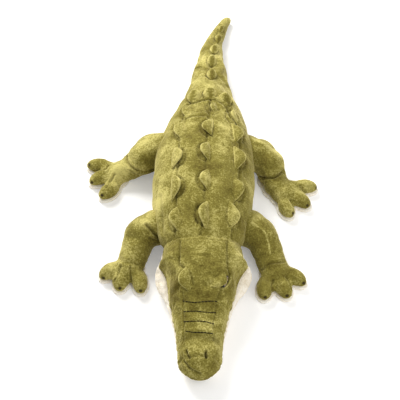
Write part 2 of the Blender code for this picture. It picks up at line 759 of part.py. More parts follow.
def build_tail(root, bend, pieces, materials):
    base_pivot = add_pivot("tail_root_axis", root, pieces)
    outer = whole_rings(tail_base_sections(root, bend), TAIL_STEPS)
    inner = whole_rings(tail_base_sections(root, bend, PLUSH), TAIL_STEPS)
    mesh = tube_loft("tail_base_cover", outer, inner)
    cover = add_object("tail_base_cover", mesh, pieces, materials["tail_base_cover"])
    filling = whole_rings(tail_base_sections(root, bend, PLUSH + FIT_GAP), TAIL_STEPS)
    mesh = solid_loft("tail_base_stuffing", filling)
    stuffing = add_object("tail_base_stuffing", mesh, pieces, materials["tail_base_stuffing"])
    cut(stuffing, bpy.data.objects["tail_bend_socket"])
    hang_on(cover, base_pivot)
    hang_on(stuffing, base_pivot)
    tip_pivot = add_pivot("tail_bend_axis", bend, pieces, base_pivot)
    outer = whole_rings(tail_tip_sections(bend), TIP_STEPS)
    inner = whole_rings(tail_tip_sections(bend, TIP_CAVITY_ROWS, PLUSH), TIP_STEPS)
    end = Vector((TAIL_TIP_SIDE, -SNOUT_Y, TAIL_TIP_LEVEL))
    cavity_end = sum((Vector(point) for point in inner[-1]), Vector()) / TIP_STEPS + Vector((0, PLUSH, 0))
    mesh = tube_loft("tail_tip_cover", outer, inner, end, cavity_end)
    cover = add_object("tail_tip_cover", mesh, pieces, materials["tail_tip_cover"])
    filling = whole_rings(tail_tip_sections(bend, TIP_CAVITY_ROWS, PLUSH + FIT_GAP), TIP_STEPS)
    mesh = solid_loft("tail_tip_stuffing", filling)
    stuffing = add_object("tail_tip_stuffing", mesh, pieces, materials["tail_tip_stuffing"])
    hang_on(cover, tip_pivot)
    hang_on(stuffing, tip_pivot)
    return base_pivot, tip_pivot


def build_scutes(torso, root, bend, base_pivot, tip_pivot, pieces, cutters, material):
    def add_row(row, first, table, size, form, place, seat):
        leaves = []
        for number, (along, across, scale) in enumerate(table, first):
            small = tuple(length * scale for length in size)
            leaves.append(build_leaf(f"scute_{row}_{number}", form, place(along), across_degrees(across),
                                     small, seat, pieces, material))
        return leaves

    size = (SCUTE_LENGTH, SCUTE_WIDTH, SCUTE_HEIGHT)
    seat = add_seat("torso_seat", torso, cover_degrees() + belly_degrees()[1:-1], cutters)
    for row, table in SCUTE_SHARES.items():
        add_row(row, 1, table, size, torso, lambda along: blend(NECK_Y, TAIL_ROOT_Y, along), seat)
    size = (TAIL_SCUTE_LENGTH, TAIL_SCUTE_WIDTH, TAIL_SCUTE_HEIGHT)
    base = tail_base_sections(root, bend)
    seat = add_seat("tail_base_seat", base, whole_degrees(TAIL_STEPS), cutters)
    for leaf in add_row("tail", 1, TAIL_SCUTE_SHARES, size, base, lambda along: blend(root.y, bend.y, along),
                        seat):
        hang_on(leaf, base_pivot)
    tip = tail_tip_sections(bend)
    seat = add_seat("tail_tip_seat", tip, whole_degrees(TIP_STEPS), cutters)
    for leaf in add_row("tail", len(TAIL_SCUTE_SHARES) + 1, TIP_SCUTE_SHARES, size, tip,
                        lambda along: bend.y + TAIL_TIP_LENGTH * along, seat):
        hang_on(leaf, tip_pivot)


# Legs

def heading(side, degrees):
    """A level direction: 0 is straight out from the animal's side, 90 is straight ahead."""
    return Vector((side * cos(radians(degrees)), -sin(radians(degrees)), 0))


class Foot:
    """The plan and height of a foot: a round root and palm with three toes, all domed."""

    def __init__(self, root, palm, sizes, leg):
        self.palm = palm
        level = Vector((1, 0, 0))
        root_radius = sizes["root_radius"]
        palm_radius = sizes["palm_radius"]
        self.pads = [(root, root_radius, root_radius, level, sizes["root_height"], False),
                     (palm, palm_radius, palm_radius, level, PALM_HEIGHT, True)]
        for share, spread in zip(leg["toe_shares"], leg["spread"]):
            way = heading(leg["side"], leg["toes"] + spread)
            center = palm + way * (TOE_REACH * share - TOE_HALF_LENGTH)
            self.pads.append((center, TOE_HALF_LENGTH, TOE_HALF_WIDTH, way, TOE_HEIGHT, True))

    def reach(self, way, inset, lip):
        """How far the outline lies from the palm's centre in a direction."""
        best = 0
        for center, long, wide, axis, height, has_lip in self.pads:
            grow = (lip if has_lip else 0) - inset
            beside = Vector((-axis.y, axis.x, 0))
            offset = center - self.palm
            ray = Vector((way.dot(axis) / (long + grow), way.dot(beside) / (wide + grow)))
            spot = Vector((offset.dot(axis) / (long + grow), offset.dot(beside) / (wide + grow)))
            square = ray.dot(ray)
            half = ray.dot(spot)
            rest = half * half - square * (spot.dot(spot) - 1)
            if rest > 0:
                best = max(best, (half + sqrt(rest)) / square)
        return best

    def height(self, place, inset):
        top = 0
        for center, long, wide, axis, height, has_lip in self.pads:
            beside = Vector((-axis.y, axis.x, 0))
            offset = place - center
            near = (offset.dot(axis) / (long - inset)) ** 2 + (offset.dot(beside) / (wide - inset)) ** 2
            if near < 1:
                top = max(top, (height - inset) * sqrt(1 - near))
        return top

    def ways(self, steps=FOOT_STEPS):
        return [Vector((cos(2 * pi * i / steps), sin(2 * pi * i / steps), 0)) for i in range(steps)]

    def rings(self, shares, base, inset=0):
        rings = []
        for share in shares:
            ring = []
            for way in self.ways():
                place = self.palm + way * (self.reach(way, inset, 0) * share)
                lift = 0 if share == 1 else self.height(place, inset)
                ring.append(Vector((place.x, place.y, base + lift)))
            rings.append(ring)
        return rings

    def top(self, base, inset=0):
        return Vector((self.palm.x, self.palm.y, base + self.height(self.palm, inset)))

    def stuffing_rings(self, base):
        """The lining's own rings, drawn in by the stuffing's ease all round."""
        rings = []
        for lining in self.rings(LINING_RING_SHARES, base, PLUSH):
            ring = []
            for point, way in zip(lining, self.ways()):
                drawn = point - way * STUFFING_EASE
                ring.append(Vector((drawn.x, drawn.y, max(point.z - STUFFING_EASE, base + FIT_GAP))))
            rings.append(ring)
        return rings

    def outline(self, lip):
        return [self.palm + way * self.reach(way, 0, lip) for way in self.ways()]


def build_sole(name, foot, pieces, material):
    curve = bpy.data.curves.new(name, "CURVE")
    curve.dimensions = "2D"
    curve.fill_mode = "BOTH"
    curve.extrude = SOLE / 2
    outline = foot.outline(SOLE_LIP)
    spline = curve.splines.new("POLY")
    spline.points.add(len(outline) - 1)
    for point, place in zip(spline.points, outline):
        point.co = (place.x, place.y, 0, 1)
    spline.use_cyclic_u = True
    curve.materials.append(material)
    sole = bpy.data.objects.new(name, curve)
    pieces.objects.link(sole)
    sole.location = (0, 0, SOLE / 2)
    return sole


def leg_place(torso, name):
    """Where an upper leg's axis stands, its sizes and its foot's sizes."""
    leg = LEGS[name]
    front = name.startswith("front")
    y = NECK_Y + (SHOULDER_BACK if front else HIP_BACK)
    section = section_at(torso, y)
    proud = SHOULDER_PROUD if front else HIP_PROUD
    center = Vector((section.x + leg["side"] * (section.half + proud), y, 0))
    if front:
        lobe = (SHOULDER_RADIUS, SHOULDER_LEVEL, SHOULDER_RISE)
        foot = {"reach": WRIST_REACH, "root_radius": WRIST_RADIUS, "root_height": WRIST_HEIGHT,
                "palm_reach": FRONT_PALM_REACH, "palm_radius": FRONT_PALM_RADIUS}
    else:
        lobe = (HIP_RADIUS, HIP_LEVEL, HIP_RISE)
        foot = {"reach": KNEE_REACH, "root_radius": KNEE_RADIUS, "root_height": KNEE_HEIGHT,
                "palm_reach": REAR_PALM_REACH, "palm_radius": REAR_PALM_RADIUS}
    return center, lobe, foot


def add_lobe_socket(name, torso, cutters):
    center, (radius, level, rise), _ = leg_place(torso, name)
    profile = egg_profile(radius + TURN_GAP, level, rise + TURN_GAP, level - LOBE_CLEARANCE + TURN_GAP)
    socket = turned(name + "_socket", profile, SOCKET_STEPS, cutters)
    socket.location = center
    make_cutter(socket)
    return socket.name


def build_leg(name, torso, pieces, cutters, materials):
    leg = LEGS[name]
    center, (radius, level, rise), sizes = leg_place(torso, name)
    drop = level - LOBE_CLEARANCE
    pivot = add_pivot(name + "_axis", center, pieces)
    cover = turned(name + "_cover", egg_profile(radius, level, rise, drop), LOBE_STEPS, pieces,
                   materials[name + "_cover"])
    lining = turned(name + "_lining", egg_profile(radius - PLUSH, level, rise - PLUSH, drop - PLUSH),
                    LOBE_STEPS, cutters)
    lining.location = center
    make_cutter(lining)
    inset = PLUSH + FIT_GAP
    stuffing = turned(name + "_stuffing", egg_profile(radius - inset, level, rise - inset, drop - inset),
                      LOBE_STEPS, pieces, materials[name + "_stuffing"])
    joint = center + heading(leg["side"], leg["turn"]) * sizes["reach"]
    well = well_profile(sizes["root_radius"], SOLE_TOP, sizes["root_height"])
    socket = turned(name + "_foot_socket", well, SOCKET_STEPS, cutters)
    socket.location = joint
    make_cutter(socket)
    cut(cover, lining)
    cut(cover, socket)
    cut(stuffing, socket)
    for item in (cover, stuffing):
        item.parent = pivot
    build_foot(name, leg, joint, sizes, pivot, pieces, materials)


def build_foot(name, leg, joint, sizes, leg_pivot, pieces, materials):
    name = name.replace("leg", "foot")
    pivot = add_pivot(name + "_axis", joint, pieces, leg_pivot)
    palm = joint + heading(leg["side"], leg["turn"]) * sizes["palm_reach"] * leg["drawn_share"]
    foot = Foot(joint, palm, sizes, leg)
    mesh = dome_mesh(name + "_cover", foot)
    cover = add_object(name + "_cover", mesh, pieces, materials[name + "_cover"])
    peak = foot.top(SOLE_TOP - STUFFING_EASE, PLUSH)
    mesh = solid_loft(name + "_stuffing", foot.stuffing_rings(SOLE_TOP), peak)
    stuffing = add_object(name + "_stuffing", mesh, pieces, materials[name + "_stuffing"])
    sole = build_sole(name + "_sole", foot, pieces, materials[name + "_sole"])
    for item in (cover, stuffing):
        hang_on(item, pivot)
    sole.parent = pivot
    sole.matrix_parent_inverse = Matrix.Translation(-pivot.matrix_world.translation)


def dome_mesh(name, foot):
    """A domed cover, open underneath, with its lining inside."""
    bm = bmesh.new()
    skins = []
    for shares, inset in ((DOME_RING_SHARES, 0), (LINING_RING_SHARES, PLUSH)):
        loops = [add_ring(bm, points) for points in foot.rings(shares, SOLE_TOP, inset)]
        for ring, other in zip(loops, loops[1:]):
            bridge(bm, ring, other, True)
        fan(bm, loops[-1], bm.verts.new(foot.top(SOLE_TOP, inset)), True)
        skins.append(loops)
    bridge(bm, skins[0][0], skins[1][0], True)
    return finish_mesh(name, bm)


# The whole toy

def add_end_sockets(neck, root, bend, cutters):
    ends = {
        "neck_socket": (neck, NECK_RADIUS, NECK_LEVEL, NECK_RISE),
        "tail_root_socket": (root, TAIL_ROOT_RADIUS, TAIL_ROOT_LEVEL, TAIL_ROOT_RISE),
        "tail_bend_socket": (bend, TAIL_BEND_RADIUS, TAIL_BEND_LEVEL, TAIL_BEND_RISE),
    }
    for name, (center, radius, level, rise) in ends.items():
        profile = well_profile(radius, level, rise)
        make_cutter(turned(name, profile, SOCKET_STEPS, cutters)).location = center


def make_materials():
    green = (0.30, 0.27, 0.075)
    cream = (0.86, 0.78, 0.66)
    white = (0.85, 0.85, 0.83)
    looks = {name: (green, 0.95) for name in ("torso_back_cover", "head_cover", "tail_base_cover",
                                              "tail_tip_cover", "brow", "scute")}
    looks.update({name: (cream, 0.95) for name in ("belly_panel", "lower_jaw_panel")})
    looks.update({name: (white, 1) for name in ("torso_stuffing", "head_stuffing", "tail_base_stuffing",
                                                "tail_tip_stuffing")})
    for leg in LEGS:
        foot = leg.replace("leg", "foot")
        looks.update({leg + "_cover": (green, 0.95), leg + "_stuffing": (white, 1),
                      foot + "_cover": (green, 0.95), foot + "_stuffing": (white, 1),
                      foot + "_sole": (cream, 0.95)})
    looks["eye"] = ((0.02, 0.015, 0.01), 0.15)
    looks["eye_washer"] = ((0.75, 0.75, 0.73), 0.5)
    return {name: make_material(name, colour, roughness) for name, (colour, roughness) in looks.items()}


def build_crocodile():
    clear_scene()
    pieces = make_collection("plush_crocodile")
    cutters = make_collection("cutters")
    materials = make_materials()
    neck = Vector((NECK_SIDE, NECK_Y, 0))
    root = Vector((TAIL_ROOT_SIDE, TAIL_ROOT_Y, 0))
    bend = Vector((TAIL_BEND_SIDE, TAIL_BEND_Y, 0))
    torso = torso_sections(neck, root)
    add_end_sockets(neck, root, bend, cutters)
    legs = [add_lobe_socket(name, torso, cutters) for name in LEGS]
    build_torso(torso, pieces, materials, {"legs": legs, "ends": ["neck_socket", "tail_root_socket"]})
    build_head(neck, pieces, cutters, materials)
    base_pivot, tip_pivot = build_tail(root, bend, pieces, materials)
    build_scutes(torso, root, bend, base_pivot, tip_pivot, pieces, cutters, materials["scute"])
    for name in LEGS:
        build_leg(name, torso, pieces, cutters, materials)


build_crocodile()
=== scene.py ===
from math import cos, pi, radians, sin

import bmesh
import bpy
import numpy as np
from mathutils import Matrix, Vector, noise
from mathutils.bvhtree import BVHTree


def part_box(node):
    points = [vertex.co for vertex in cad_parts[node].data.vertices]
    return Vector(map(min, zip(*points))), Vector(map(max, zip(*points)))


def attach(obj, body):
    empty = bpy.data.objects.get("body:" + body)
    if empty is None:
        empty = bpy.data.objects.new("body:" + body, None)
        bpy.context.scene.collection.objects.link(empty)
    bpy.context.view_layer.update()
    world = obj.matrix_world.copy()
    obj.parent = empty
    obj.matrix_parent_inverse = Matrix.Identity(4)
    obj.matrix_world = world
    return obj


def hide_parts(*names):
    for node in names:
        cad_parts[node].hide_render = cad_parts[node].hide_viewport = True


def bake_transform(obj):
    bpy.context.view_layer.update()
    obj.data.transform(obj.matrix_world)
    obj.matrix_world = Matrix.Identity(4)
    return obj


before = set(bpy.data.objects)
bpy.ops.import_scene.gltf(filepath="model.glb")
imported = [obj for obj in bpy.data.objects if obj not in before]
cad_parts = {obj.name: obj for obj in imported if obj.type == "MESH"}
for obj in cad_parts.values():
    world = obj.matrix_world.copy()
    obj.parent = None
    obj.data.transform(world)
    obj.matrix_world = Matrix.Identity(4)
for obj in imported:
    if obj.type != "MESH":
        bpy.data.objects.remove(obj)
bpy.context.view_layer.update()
mm = 0.001
print("frame loaded:", len(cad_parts), "nodes")

# The camera comes first, because seams, stitches and claws are placed by where the photograph shows them.
view = {"target": (-0.003, -0.052, 0.030), "elevation": 53, "distance": 1.5, "focalPixels": 1150,
        "picture": 400, "sensor": 36}
lookUp = radians(view["elevation"])
forward = Vector((0, cos(lookUp), -sin(lookUp)))
upward = Vector((0, sin(lookUp), cos(lookUp)))
eyePlace = Vector(view["target"]) - forward * view["distance"]


def addObject(name, data):
    item = bpy.data.objects.new(name, data)
    bpy.context.scene.collection.objects.link(item)
    return item


def makeCamera():
    lens = bpy.data.cameras.new("camera")
    lens.sensor_width = view["sensor"]
    lens.lens = view["focalPixels"] / view["picture"] * view["sensor"]
    camera = addObject("camera", lens)
    camera.location = eyePlace
    camera.rotation_euler = forward.to_track_quat("-Z", "Y").to_euler()
    bpy.context.scene.camera = camera


makeCamera()


# Materials

def linear(hexColour):
    # sRGB hex to linear light
    parts = [int(hexColour[i:i + 2], 16) / 255 for i in (1, 3, 5)]
    return [c / 12.92 if c <= 0.04045 else ((c + 0.055) / 1.055) ** 2.4 for c in parts] + [1]


def addNode(tree, kind, settings=None, inputs=None):
    # one node with its settings, and its inputs as values or links
    node = tree.nodes.new(kind)
    for key, value in (settings or {}).items():
        setattr(node, key, value)
    for key, value in (inputs or {}).items():
        if isinstance(value, bpy.types.NodeSocket):
            tree.links.new(value, node.inputs[key])
        else:
            node.inputs[key].default_value = value
    return node


def colourRamp(tree, value, *stops):
    # a colour for each value; each stop is a position and an sRGB colour
    ramp = addNode(tree, "ShaderNodeValToRGB", {}, {"Fac": value})
    marks = ramp.color_ramp.elements
    for i, (position, colour) in enumerate(stops):
        mark = marks[i] if i < 2 else marks.new(position)
        mark.position = position
        mark.color = linear(colour)
    return ramp.outputs["Color"]


def newMaterial(name):
    material = bpy.data.materials.new(name)
    material.use_nodes = True
    material.node_tree.nodes.clear()
    return material, material.node_tree


def closeMaterial(tree, shader):
    addNode(tree, "ShaderNodeOutputMaterial", inputs={"Surface": shader.outputs[0]})


# Short-pile polyester plush: a knitted back with 2.5 mm pile. The eye gets no gloss, a grain of fibre ends,
# soft clumps where the pile was stroked one way or the other, and a paler edge seen along the fibres' tips.
# Grain, clump and stroke are widths in millimetres.
# dark, middle and light are the pile's own tones; the crease colour is painted shade for creases, seams and
# the bases of fins
greenPile = {"dark": "#5A4F1A", "middle": "#7E7532", "light": "#C0B56C", "sheen": "#EEE09A", "grain": 1.9,
             "clump": 8.0, "stroke": 42.0, "paintedCreaseShade": "#3E3610", "spot": "#2A2110"}
creamPile = {"dark": "#DFD1B6", "middle": "#F3E9D6", "light": "#FDF8EC", "sheen": "#FFF8EA", "grain": 1.9,
             "clump": 8.0, "stroke": 38.0, "paintedCreaseShade": "#A08A68", "spot": "#A08A68"}


def plush(name, look):
    material, tree = newMaterial(name)
    place = addNode(tree, "ShaderNodeTexCoord").outputs["Object"]

    def cloud(size, detail, rough=0.55):
        # a noise whose features are about this many millimetres wide
        return addNode(tree, "ShaderNodeTexNoise", {}, {"Vector": place, "Scale": 1 / (size * mm),
                       "Detail": detail, "Roughness": rough}).outputs["Fac"]

    grain = cloud(look["grain"], 2)
    clump = cloud(look["clump"], 3)
    stroke = cloud(look["stroke"], 2)

    def spread(value, low, high, toLow, toHigh):
        return addNode(tree, "ShaderNodeMapRange", {}, {"Value": value, "From Min": low, "From Max": high,
                       "To Min": toLow, "To Max": toHigh}).outputs["Result"]

    def add(a, b):
        return addNode(tree, "ShaderNodeMath", {"operation": "ADD"}, {0: a, 1: b}).outputs[0]

    # painted light and shade: the rim attribute makes the pile paler on lit rims, ridges and patches and
    # darker where shade falls
    rim = addNode(tree, "ShaderNodeAttribute", {"attribute_name": "rim"})
    tone = add(add(add(spread(grain, 0.3, 0.7, -0.24, 0.24), spread(clump, 0.3, 0.7, -0.14, 0.14)),
                   spread(stroke, 0.32, 0.68, 0.26, 0.74)), spread(rim.outputs["Fac"], -1, 1, -0.5, 0.5))
    colour = colourRamp(tree, tone, (0.05, look["dark"]), (0.95, look["light"]), (0.5, look["middle"]))
    # painted shade: this attribute darkens creases, seams and the bases of fins and domes towards the crease
    # colour
    paintedShade = addNode(tree, "ShaderNodeAttribute", {"attribute_name": "paintedShade"})
    shade = addNode(tree, "ShaderNodeMix", {"data_type": "RGBA", "clamp_factor": True},
                    {"Factor": paintedShade.outputs["Fac"], "A": colour, "B": linear(look["paintedCreaseShade"])})
    spot = addNode(tree, "ShaderNodeAttribute", {"attribute_name": "spot"})
    frayed = add(spot.outputs["Fac"], spread(grain, 0.3, 0.7, -0.16, 0.16))
    dyed = addNode(tree, "ShaderNodeMix", {"data_type": "RGBA", "clamp_factor": True},
                   {"Factor": spread(frayed, 0.35, 0.75, 0, 0.94), "A": shade.outputs["Result"],
                    "B": linear(look["spot"])})
    relief = add(spread(grain, 0.3, 0.7, 0, 0.6), spread(clump, 0.3, 0.7, 0, 1))
    bump = addNode(tree, "ShaderNodeBump", {}, {"Height": relief, "Strength": 0.55, "Distance": 1.1 * mm})
    shader = addNode(tree, "ShaderNodeBsdfPrincipled", {}, {
        "Base Color": dyed.outputs["Result"], "Roughness": 0.92, "Specular IOR Level": 0.15,
        "Sheen Weight": 0.85, "Sheen Roughness": 0.4, "Sheen Tint": linear(look["sheen"]),
        "Normal": bump.outputs["Normal"]})
    closeMaterial(tree, shader)
    return material


def threadMaterial(name, colour, shine):
    # rayon embroidery thread, satin stitched: the eye gets near black, fine twisted lines with painted glints
    # in their lighter bands, and a little gloss
    material, tree = newMaterial(name)
    place = addNode(tree, "ShaderNodeTexCoord").outputs["Object"]
    wave = addNode(tree, "ShaderNodeTexWave", {"wave_type": "BANDS", "bands_direction": "DIAGONAL"},
                   {"Vector": place, "Scale": 1 / (0.45 * mm) / 6.28, "Distortion": 1.5, "Detail": 1})
    twisted = colourRamp(tree, wave.outputs["Fac"], (0, colour), (1, shine))
    bump = addNode(tree, "ShaderNodeBump", {}, {"Height": wave.outputs["Fac"], "Strength": 0.5,
                   "Distance": 0.2 * mm})
    shader = addNode(tree, "ShaderNodeBsdfPrincipled", {}, {
        "Base Color": twisted, "Roughness": 0.8, "Specular IOR Level": 0.15,
        "Normal": bump.outputs["Normal"]})
    closeMaterial(tree, shader)
    return material


greenPlush = plush("green_short_pile_plush", greenPile)
creamPlush = plush("cream_short_pile_plush", creamPile)
blackThread = threadMaterial("black_rayon_thread", "#0C0A06", "#1D1810")


# Shapes

def smoothThrough(stations, places):
    # values at each place on smooth curves through the measured stations, whose first column is y
    table = np.array(sorted(stations), float)
    keys, rest = table[:, 0], table[:, 1:]
    slopes = np.gradient(rest, keys, axis=0)
    left = np.clip(np.searchsorted(keys, places) - 1, 0, len(keys) - 2)
    width = (keys[left + 1] - keys[left])[:, None]
    t = (np.asarray(places)[:, None] - keys[left][:, None]) / width
    return ((2 * t ** 3 - 3 * t ** 2 + 1) * rest[left] + (t ** 3 - 2 * t ** 2 + t) * width * slopes[left]
            + (3 * t ** 2 - 2 * t ** 3) * rest[left + 1] + (t ** 3 - t ** 2) * width * slopes[left + 1])


def roundPower(degrees, full):
    # a point on a unit superellipse: 2 is round, more is squarer
    c, s = np.cos(np.radians(degrees)), np.sin(np.radians(degrees))
    return np.sign(c) * np.abs(c) ** (2 / full), np.sign(s) * np.abs(s) ** (2 / full)


def finer(grid):
    # twice the rows and columns, on smooth curves through the same points; the columns close
    def at(k):
        return np.roll(grid, -k, axis=1)

    between = (9 * (grid + at(1)) - at(-1) - at(2)) / 16
    wide = np.stack([grid, between], axis=2).reshape(len(grid), -1, 3)
    middle = (wide[:-1] + wide[1:]) / 2
    middle[1:-1] = (9 * (wide[1:-2] + wide[2:-1]) - wide[:-3] - wide[3:]) / 16
    rows = np.empty((2 * len(wide) - 1, wide.shape[1], 3))
    rows[0::2], rows[1::2] = wide, middle
    return rows


def gridFaces(rows, columns):
    # quads of a tube whose columns close, and the two fans that close its ends
    r, c = np.meshgrid(np.arange(rows - 1), np.arange(columns), indexing="ij")
    n = (c + 1) % columns
    faces = np.stack([r * columns + c, r * columns + n, (r + 1) * columns + n, (r + 1) * columns + c], -1)
    quads = faces.reshape(-1, 4).tolist()
    start, end = rows * columns, rows * columns + 1
    last = (rows - 1) * columns
    for i in range(columns):
        j = (i + 1) % columns
        quads += [[j, i, start], [last + i, last + j, end]]
    return quads


def closedPoints(grid):
    # the grid's points and the middles of its two ends
    return np.vstack([grid.reshape(-1, 3), grid[0].mean(0), grid[-1].mean(0)])


def makePiece(name, points, faces, material=None):
    mesh = bpy.data.meshes.new(name)
    mesh.from_pydata([tuple(p) for p in points], [], faces)
    work = bmesh.new()
    work.from_mesh(mesh)
    bmesh.ops.recalc_face_normals(work, faces=work.faces)
    work.to_mesh(mesh)
    work.free()
    mesh.shade_smooth()
    piece = addObject(name, mesh)
    if material:
        mesh.materials.append(material)
    return piece


def setValues(piece, label, values):
    # one number for each point, which the materials read
    layer = piece.data.attributes.new(label, "FLOAT", "POINT")
    layer.data.foreach_set("value", np.asarray(values, np.float32))


def pointsOf(piece):
    flat = np.zeros(len(piece.data.vertices) * 3)
    piece.data.vertices.foreach_get("co", flat)
    return flat.reshape(-1, 3)


def normalsOf(piece):
    flat = np.zeros(len(piece.data.vertices) * 3)
    piece.data.vertex_normals.foreach_get("vector", flat)
    return flat.reshape(-1, 3)


def movePoints(piece, points):
    piece.data.vertices.foreach_set("co", np.ascontiguousarray(points).ravel())
    piece.data.update()


def treeOf(piece):
    mesh = piece.data
    return BVHTree.FromPolygons([v.co for v in mesh.vertices], [p.vertices[:] for p in mesh.polygons])


def discard(piece):
    mesh = piece.data
    bpy.data.objects.remove(piece)
    bpy.data.meshes.remove(mesh)


# What the photograph shows at a pixel, found on a piece's own surface

def seenAt(tree, x, y):
    half = view["picture"] / 2
    across, up = (x - half) / view["focalPixels"], (half - y) / view["focalPixels"]
    ray = forward + Vector((1, 0, 0)) * across + upward * up
    place, _, _, _ = tree.ray_cast(eyePlace, ray.normalized())
    return place


def placed(tree, rows):
    # each row with its pixel turned into the place seen there
    return [(seenAt(tree, *spot), *rest) for spot, *rest in rows if seenAt(tree, *spot)]


def rounded(corners, steps=6):
    # a smooth line through the corners
    line = np.array(corners, float)
    ends = np.vstack([2 * line[0] - line[1], line, 2 * line[-1] - line[-2]])
    made = []
    for a, b, c, d in zip(ends, ends[1:], ends[2:], ends[3:]):
        for i in range(steps):
            t = i / steps
            made.append(b + 0.5 * t * (c - a + t * (2 * a - 5 * b + 4 * c - d + t * (3 * (b - c) + d - a))))
    return np.array(made + [line[-1]])


def lineOn(tree, pixels, spacing=0.0008):
    # the photograph's line as points that lie on the surface, evenly spaced
    found = [seenAt(tree, x, y) for x, y in rounded(pixels)]
    line = np.array([p for p in found if p is not None])
    if len(line) < 2:
        return line
    steps = np.linalg.norm(np.diff(line, axis=0), axis=1)
    along = np.concatenate([[0], np.cumsum(steps)])
    at = np.linspace(0, along[-1], max(int(along[-1] / spacing), 2))
    return np.stack([np.interp(at, along, line[:, i]) for i in range(3)], 1)


def sewn(tree, rows):
    # each row with its line of pixels laid on the surface
    return [(lineOn(tree, line), *rest) for line, *rest in rows]


def nearness(points, line):
    # each point's distance from a line of points; far ones are left at one metre
    far = np.ones(len(points))
    low, high = line.min(0) - 0.03, line.max(0) + 0.03
    near = np.where(((points > low) & (points < high)).all(1))[0]
    for part in np.array_split(near, max(len(near) // 4000, 1)):
        if len(part):
            far[part] = np.sqrt(((points[part, None] - line[None]) ** 2).sum(2).min(1))
    return far


def relief(piece, creases, lumps=(), spots=(), lightShadePatches=(), stuffing=0.7, clumps=0.16, seed=0.0):
    # presses seams and folds into a skin with painted shade in them, raises lumps, and gives it the
    # unevenness of stuffing and pile;
    # depths, widths and heights are in millimetres; raised lines (depth below zero) and the given patches get
    # painted light and shade
    points, normals = pointsOf(piece), normalsOf(piece)
    move = np.zeros(len(points))
    paintedShade = np.zeros(len(points))
    paintedLight = np.zeros(len(points))
    for line, deep, wide, lip in creases:
        if len(line) < 2:
            continue
        away = nearness(points, line)
        close = np.exp(-(away / (wide * mm)) ** 2)
        move += -deep * close + lip * np.exp(-((away / (wide * mm) - 1.9) / 0.8) ** 2)
        # painted shade along each crease
        paintedShade += max(min(0.85, 0.12 + deep * 0.17), 0) * np.exp(-(away / (max(wide * 0.75, 1.0) * mm)) ** 2)
        # painted highlight along raised lines, those whose depth is below zero
        paintedLight += max(-deep, 0) * np.exp(-(away / (wide * 0.8 * mm)) ** 2)
    for place, wide, high in lumps:
        away = np.linalg.norm(points - np.array(place), axis=1)
        move += high * np.exp(-(away / (wide * mm)) ** 2)
    for i, p in enumerate(points):
        spot = Vector(p) + Vector((seed, 0, 0))
        move[i] += stuffing * noise.noise(spot * 45) + clumps * noise.noise(spot * 210)
    made = points + normals * (move * mm)[:, None]
    made[:, 2] = np.maximum(made[:, 2], 0.0)
    movePoints(piece, made)
    dyed = np.zeros(len(points))
    for place, wide in spots:
        away = np.linalg.norm(points - np.array(place), axis=1)
        dyed = np.maximum(dyed, np.exp(-(away / (wide * mm)) ** 2.4))
    # patches of painted light and shade
    for place, wide, tone in lightShadePatches:
        paintedLight += tone * np.exp(-(np.linalg.norm(points - np.array(place), axis=1) / (wide * mm)) ** 2)
    for label, values in (("paintedShade", np.clip(paintedShade, 0, 0.9)), ("spot", dyed), ("rim", paintedLight)):
        setValues(piece, label, values)


def puff(piece, held, cap, pressure=4.0, growth=0.02, frames=20):
    # blows the skin up by a cloth simulation; held points stay, and none moves past the cap
    start = pointsOf(piece)
    group = piece.vertex_groups.new(name="held")
    for i in np.where(held > 0.02)[0]:
        group.add([int(i)], float(held[i]), "REPLACE")
    cloth = piece.modifiers.new("cloth", "CLOTH")
    cloth.settings.quality = 6
    cloth.settings.mass = 0.25
    cloth.settings.tension_stiffness = 18
    cloth.settings.compression_stiffness = 12
    cloth.settings.shear_stiffness = 8
    cloth.settings.bending_stiffness = 0.4
    cloth.settings.use_pressure = True
    cloth.settings.uniform_pressure_force = pressure
    cloth.settings.shrink_min = -growth
    cloth.settings.vertex_group_mass = "held"
    cloth.settings.effector_weights.gravity = 0
    cloth.point_cache.frame_start = 1
    cloth.point_cache.frame_end = frames
    scene = bpy.context.scene
    for step in range(1, frames + 1):
        scene.frame_set(step)
    shaped = piece.evaluated_get(bpy.context.evaluated_depsgraph_get())
    flat = np.zeros(len(start) * 3)
    shaped.data.vertices.foreach_get("co", flat)
    piece.modifiers.remove(cloth)
    piece.vertex_groups.clear()
    scene.frame_set(1)
    move = flat.reshape(-1, 3) - start
    size = np.linalg.norm(move, axis=1)
    made = start + move * (np.minimum(size, cap * mm) / np.maximum(size, 1e-9))[:, None]
    made[:, 2] = np.maximum(made[:, 2], 0.0)
    return made
